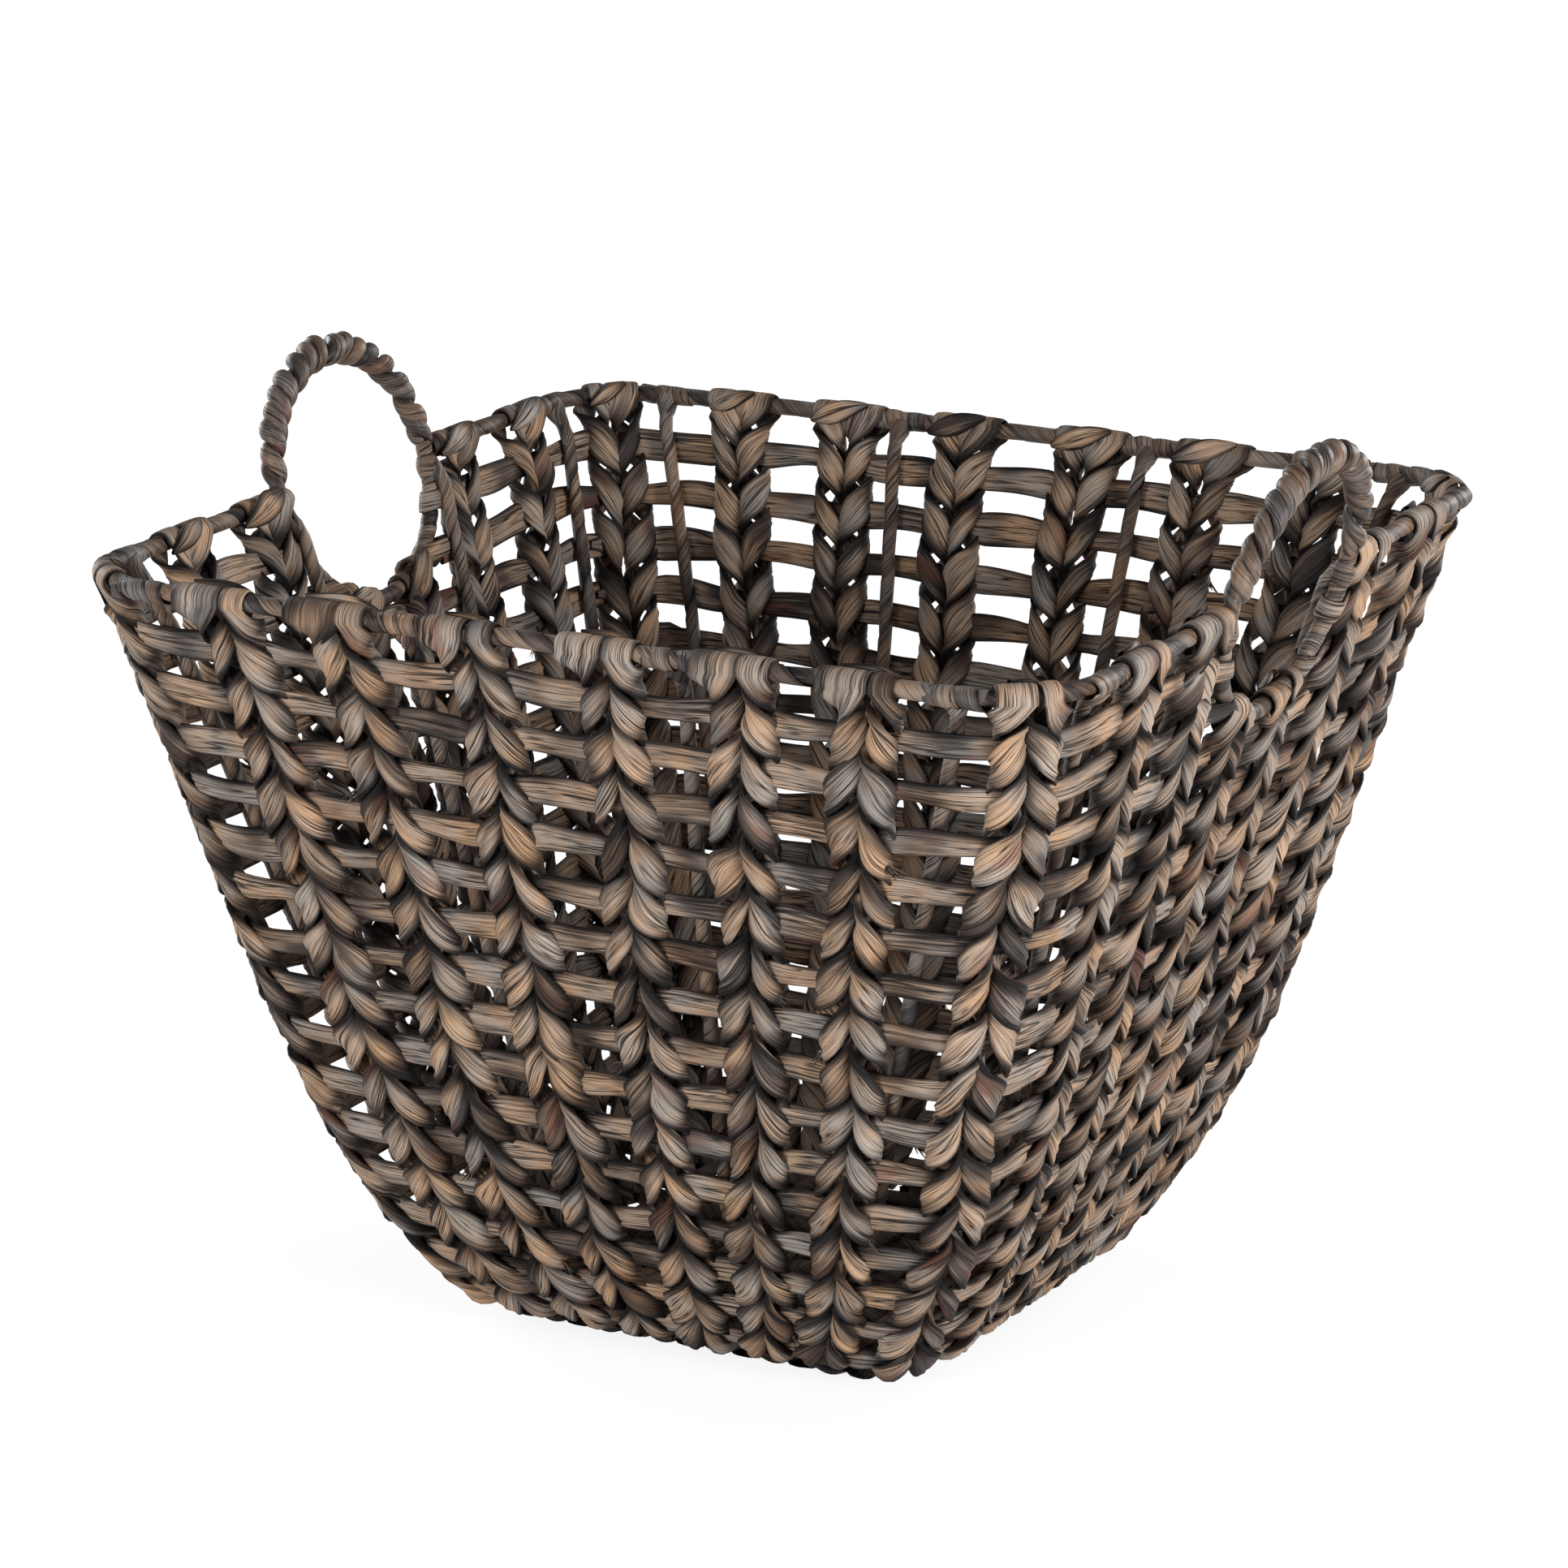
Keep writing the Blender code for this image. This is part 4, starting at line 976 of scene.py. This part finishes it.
def hyacinth(name, light, roughness, sheen):
    """Dried hyacinth stem: fine lengthwise fibres, dark grooves, tan crests that are painted highlights and
    charcoal edges of stain and painted shade.
    """
    finish = Finish(name)
    fibre, stain_and_painted_light = (finish.node("UVMap", {"uv_map": layer}, {}) for layer in ("Fibre", "StainAndPaintedLight"))
    edge, crest = (finish.node("SeparateXYZ", {}, {0: stain_and_painted_light}, output) for output in (0, 1))
    fine = finish.noise(fibre, 2100, 60, 2.0, 0.6)
    streaks = finish.noise(fibre, 640, 20, 2.0, 0.6)
    bands = finish.noise(fibre, 260, 22)
    patches = finish.noise(fibre, 110, 40, 2.0)
    tone = finish.noise(fibre, 24, 24)
    hue = finish.noise(fibre, 20, 26, 3.0, 0.6)
    bold = finish.line(finish.noise(fibre, 290, 10), 0.040)
    thin = finish.line(finish.noise(fibre, 700, 24), 0.07)
    # The dark grooves gather where edges and low crests are, which adds to the painted shade there.
    bold = bold * finish.rise(patches - 0.2 * crest + 0.2 * edge, 0.02, 0.30)
    thin = thin * finish.rise(patches, 0.36, 0.58)
    # Stain and painted shade: the strand goes dark towards its edges.
    rim = edge * edge * edge * edge
    # The stem's random tone plus painted light: a high crest raises the share as a painted highlight, and
    # edges and low crests lower it as painted shade.
    tone_and_painted_light = 0.2 + crest * 0.65 - 0.8 * rim + (patches - 0.5) + 2.2 * (tone - 0.5)
    tone_and_painted_light = tone_and_painted_light + 0.5 * (streaks - 0.5) + 0.4 * (bands - 0.5)
    warmth = finish.rise(hue, 0.26, 0.74)
    body = finish.mix(warmth, GREY_BROWN, WARM_BROWN)
    colour = finish.mix(finish.rise(tone_and_painted_light, -0.25, 0.30), CHARCOAL, body)
    # Painted highlight: where the share is high, the colour turns to khaki and tan, as far as light lets it.
    colour = finish.mix(finish.rise(tone_and_painted_light, 0.18, 1.05) * light, colour, finish.mix(warmth, KHAKI, TAN))
    rust = finish.rise(finish.noise(fibre, 45, 24) + 0.3 * (streaks - 0.5), 0.68, 0.80)
    colour = finish.mix(rust * 0.55, colour, RUST)
    colour = finish.mix(finish.rise(fine, 0.52, 0.30) * 0.45, colour, CHARCOAL)
    colour = finish.mix(finish.maths("MAXIMUM", bold * 0.97, thin * 0.85), colour, CHARCOAL)
    height = 0.5 * fine + 0.8 * streaks - bold - 0.5 * thin
    bump = finish.node("Bump", {}, {"Height": height, "Strength": 0.7, "Distance": 0.5 * MM})
    roughness = roughness + 0.2 * fine + 0.12 * (1 - crest)
    finish.set(Base_Color=colour, Roughness=roughness, Specular_IOR_Level=sheen, Normal=bump)
    return finish.material


# Stage


FLOOR_HALF_WIDTH = 2.3
FLOOR_COLOUR = (0.86, 0.86, 0.86, 1)
WHITE = (1, 1, 1, 1)
FLOOR_GLOW, FLOOR_GLOW_SHARE = 1.06, 0.80
WORLD_STRENGTH = 0.43
LAMP_SIZE = 1.1
# Where each lamp hangs, how high the point is that it faces, and its power
LAMPS = {
    "front_light": ((-0.6, -2.8, 0.60), 0.06, 86),
    "side_light": ((2.8, -0.7, 0.60), 0.06, 144),
    "back_light": ((0.9, 2.8, 0.9), 0.1, 62),
    "left_light": ((-2.8, 0.9, 0.9), 0.1, 62),
}


def add_floor():
    """A pale floor that keeps the shadow and is seen as almost white. Beyond it the world is white."""
    half = FLOOR_HALF_WIDTH
    corners = [(-half, -half, 0), (half, -half, 0), (half, half, 0), (-half, half, 0)]
    mesh = bpy.data.meshes.new("studio_floor")
    mesh.from_pydata(corners, [], [(0, 1, 2, 3)])
    finish = Finish("pale_floor")
    finish.set(Base_Color=FLOOR_COLOUR, Roughness=0.9)
    seen = finish.node("LightPath", {}, {}, "Is Camera Ray")
    glow = finish.node("Emission", {}, {"Color": WHITE, "Strength": FLOOR_GLOW})
    surface = Shade(finish, finish.shader.outputs[0])
    mixed = finish.node("MixShader", {}, {0: seen * FLOOR_GLOW_SHARE, 1: surface, 2: glow})
    finish.feed(finish.tree.nodes["Material Output"].inputs["Surface"], mixed)
    mesh.materials.append(finish.material)
    add_object("studio_floor", mesh)


def add_lamps():
    for name, (place, aim_height, power) in LAMPS.items():
        data = bpy.data.lights.new(name, "AREA")
        data.shape, data.size, data.energy = "DISK", LAMP_SIZE, power
        lamp = add_object(name, data)
        lamp.location = place
        lamp.rotation_euler = (Vector((0, 0, aim_height)) - Vector(place)).to_track_quat("-Z", "Y").to_euler()


def set_world():
    """Soft light from all round, and white where the camera sees past the floor."""
    world = bpy.data.worlds.new("studio")
    bpy.context.scene.world = world
    world.use_nodes = True
    tree = world.node_tree
    background = tree.nodes["Background"]
    background.inputs["Color"].default_value = WHITE
    path = tree.nodes.new("ShaderNodeLightPath")
    share = tree.nodes.new("ShaderNodeMapRange")
    tree.links.new(path.outputs["Is Camera Ray"], share.inputs["Value"])
    share.inputs["To Min"].default_value = WORLD_STRENGTH
    share.inputs["To Max"].default_value = 1.0
    tree.links.new(share.outputs["Result"], background.inputs["Strength"])


CAMERA_YAW, CAMERA_PITCH, CAMERA_ROLL = 0.4974, 0.2709, -0.0046
CAMERA_DISTANCE, CAMERA_LENS, CAMERA_SENSOR = 2.525, 140.2, 36.0
CAMERA_ASIDE, CAMERA_LIFT = -0.0056, -0.1051


def add_camera():
    """The photograph's view: level with its angle round the basket, tilted and rolled as it is."""
    level = math.cos(CAMERA_PITCH)
    back = Vector((math.sin(CAMERA_YAW) * level, -math.cos(CAMERA_YAW) * level, math.sin(CAMERA_PITCH)))
    right = Vector((math.cos(CAMERA_YAW), math.sin(CAMERA_YAW), 0))
    up = back.cross(right)
    data = bpy.data.cameras.new("camera")
    data.lens, data.sensor_width = CAMERA_LENS, CAMERA_SENSOR
    data.clip_start, data.clip_end = 0.1, 100.0
    camera = add_object("camera", data)
    roll = Vector((math.cos(CAMERA_ROLL), math.sin(CAMERA_ROLL)))
    x_axis = right * roll.x + up * roll.y
    y_axis = up * roll.x - right * roll.y
    aim = Vector((0, 0, RIM_HEIGHT)) + x_axis * CAMERA_ASIDE + y_axis * CAMERA_LIFT
    camera.location = aim + back * CAMERA_DISTANCE
    rotation = np.array([tuple(x_axis), tuple(y_axis), tuple(back)]).T
    camera.rotation_mode = "QUATERNION"
    camera.rotation_quaternion = Matrix(rotation.tolist()).to_quaternion()
    bpy.context.scene.camera = camera


def main():
    finishes = [hyacinth(name, *look) for name, look in LOOKS.items()]
    plait_finish, row_finish, wire_finish, coil_finish, mat_finish = finishes
    for name, place, hangs_at in plait_places():
        add_plait(name, place, plait_finish, hangs_at)
    for row in range(ROW_COUNT):
        name = f"row_{row + 1:02d}"
        if row < CUT_ROW_COUNT:
            for end, end_sign in Y_ENDS:
                add_cut_row(f"{name}_{end}", row, end_sign, row_finish)
        else:
            add_whole_row(name, row, row_finish)
    for end, end_sign in Y_ENDS:
        add_rim_wire(f"rim_wire_{end}", end_sign, wire_finish)
    for side, x_sign in X_ENDS:
        add_ring(side, x_sign, wire_finish)
        add_coil(side, x_sign, coil_finish)
    add_uprights(wire_finish)
    add_base_mat(mat_finish)
    add_floor()
    set_world()
    add_lamps()
    add_camera()
    bpy.context.scene.view_settings.view_transform = "Standard"


main()
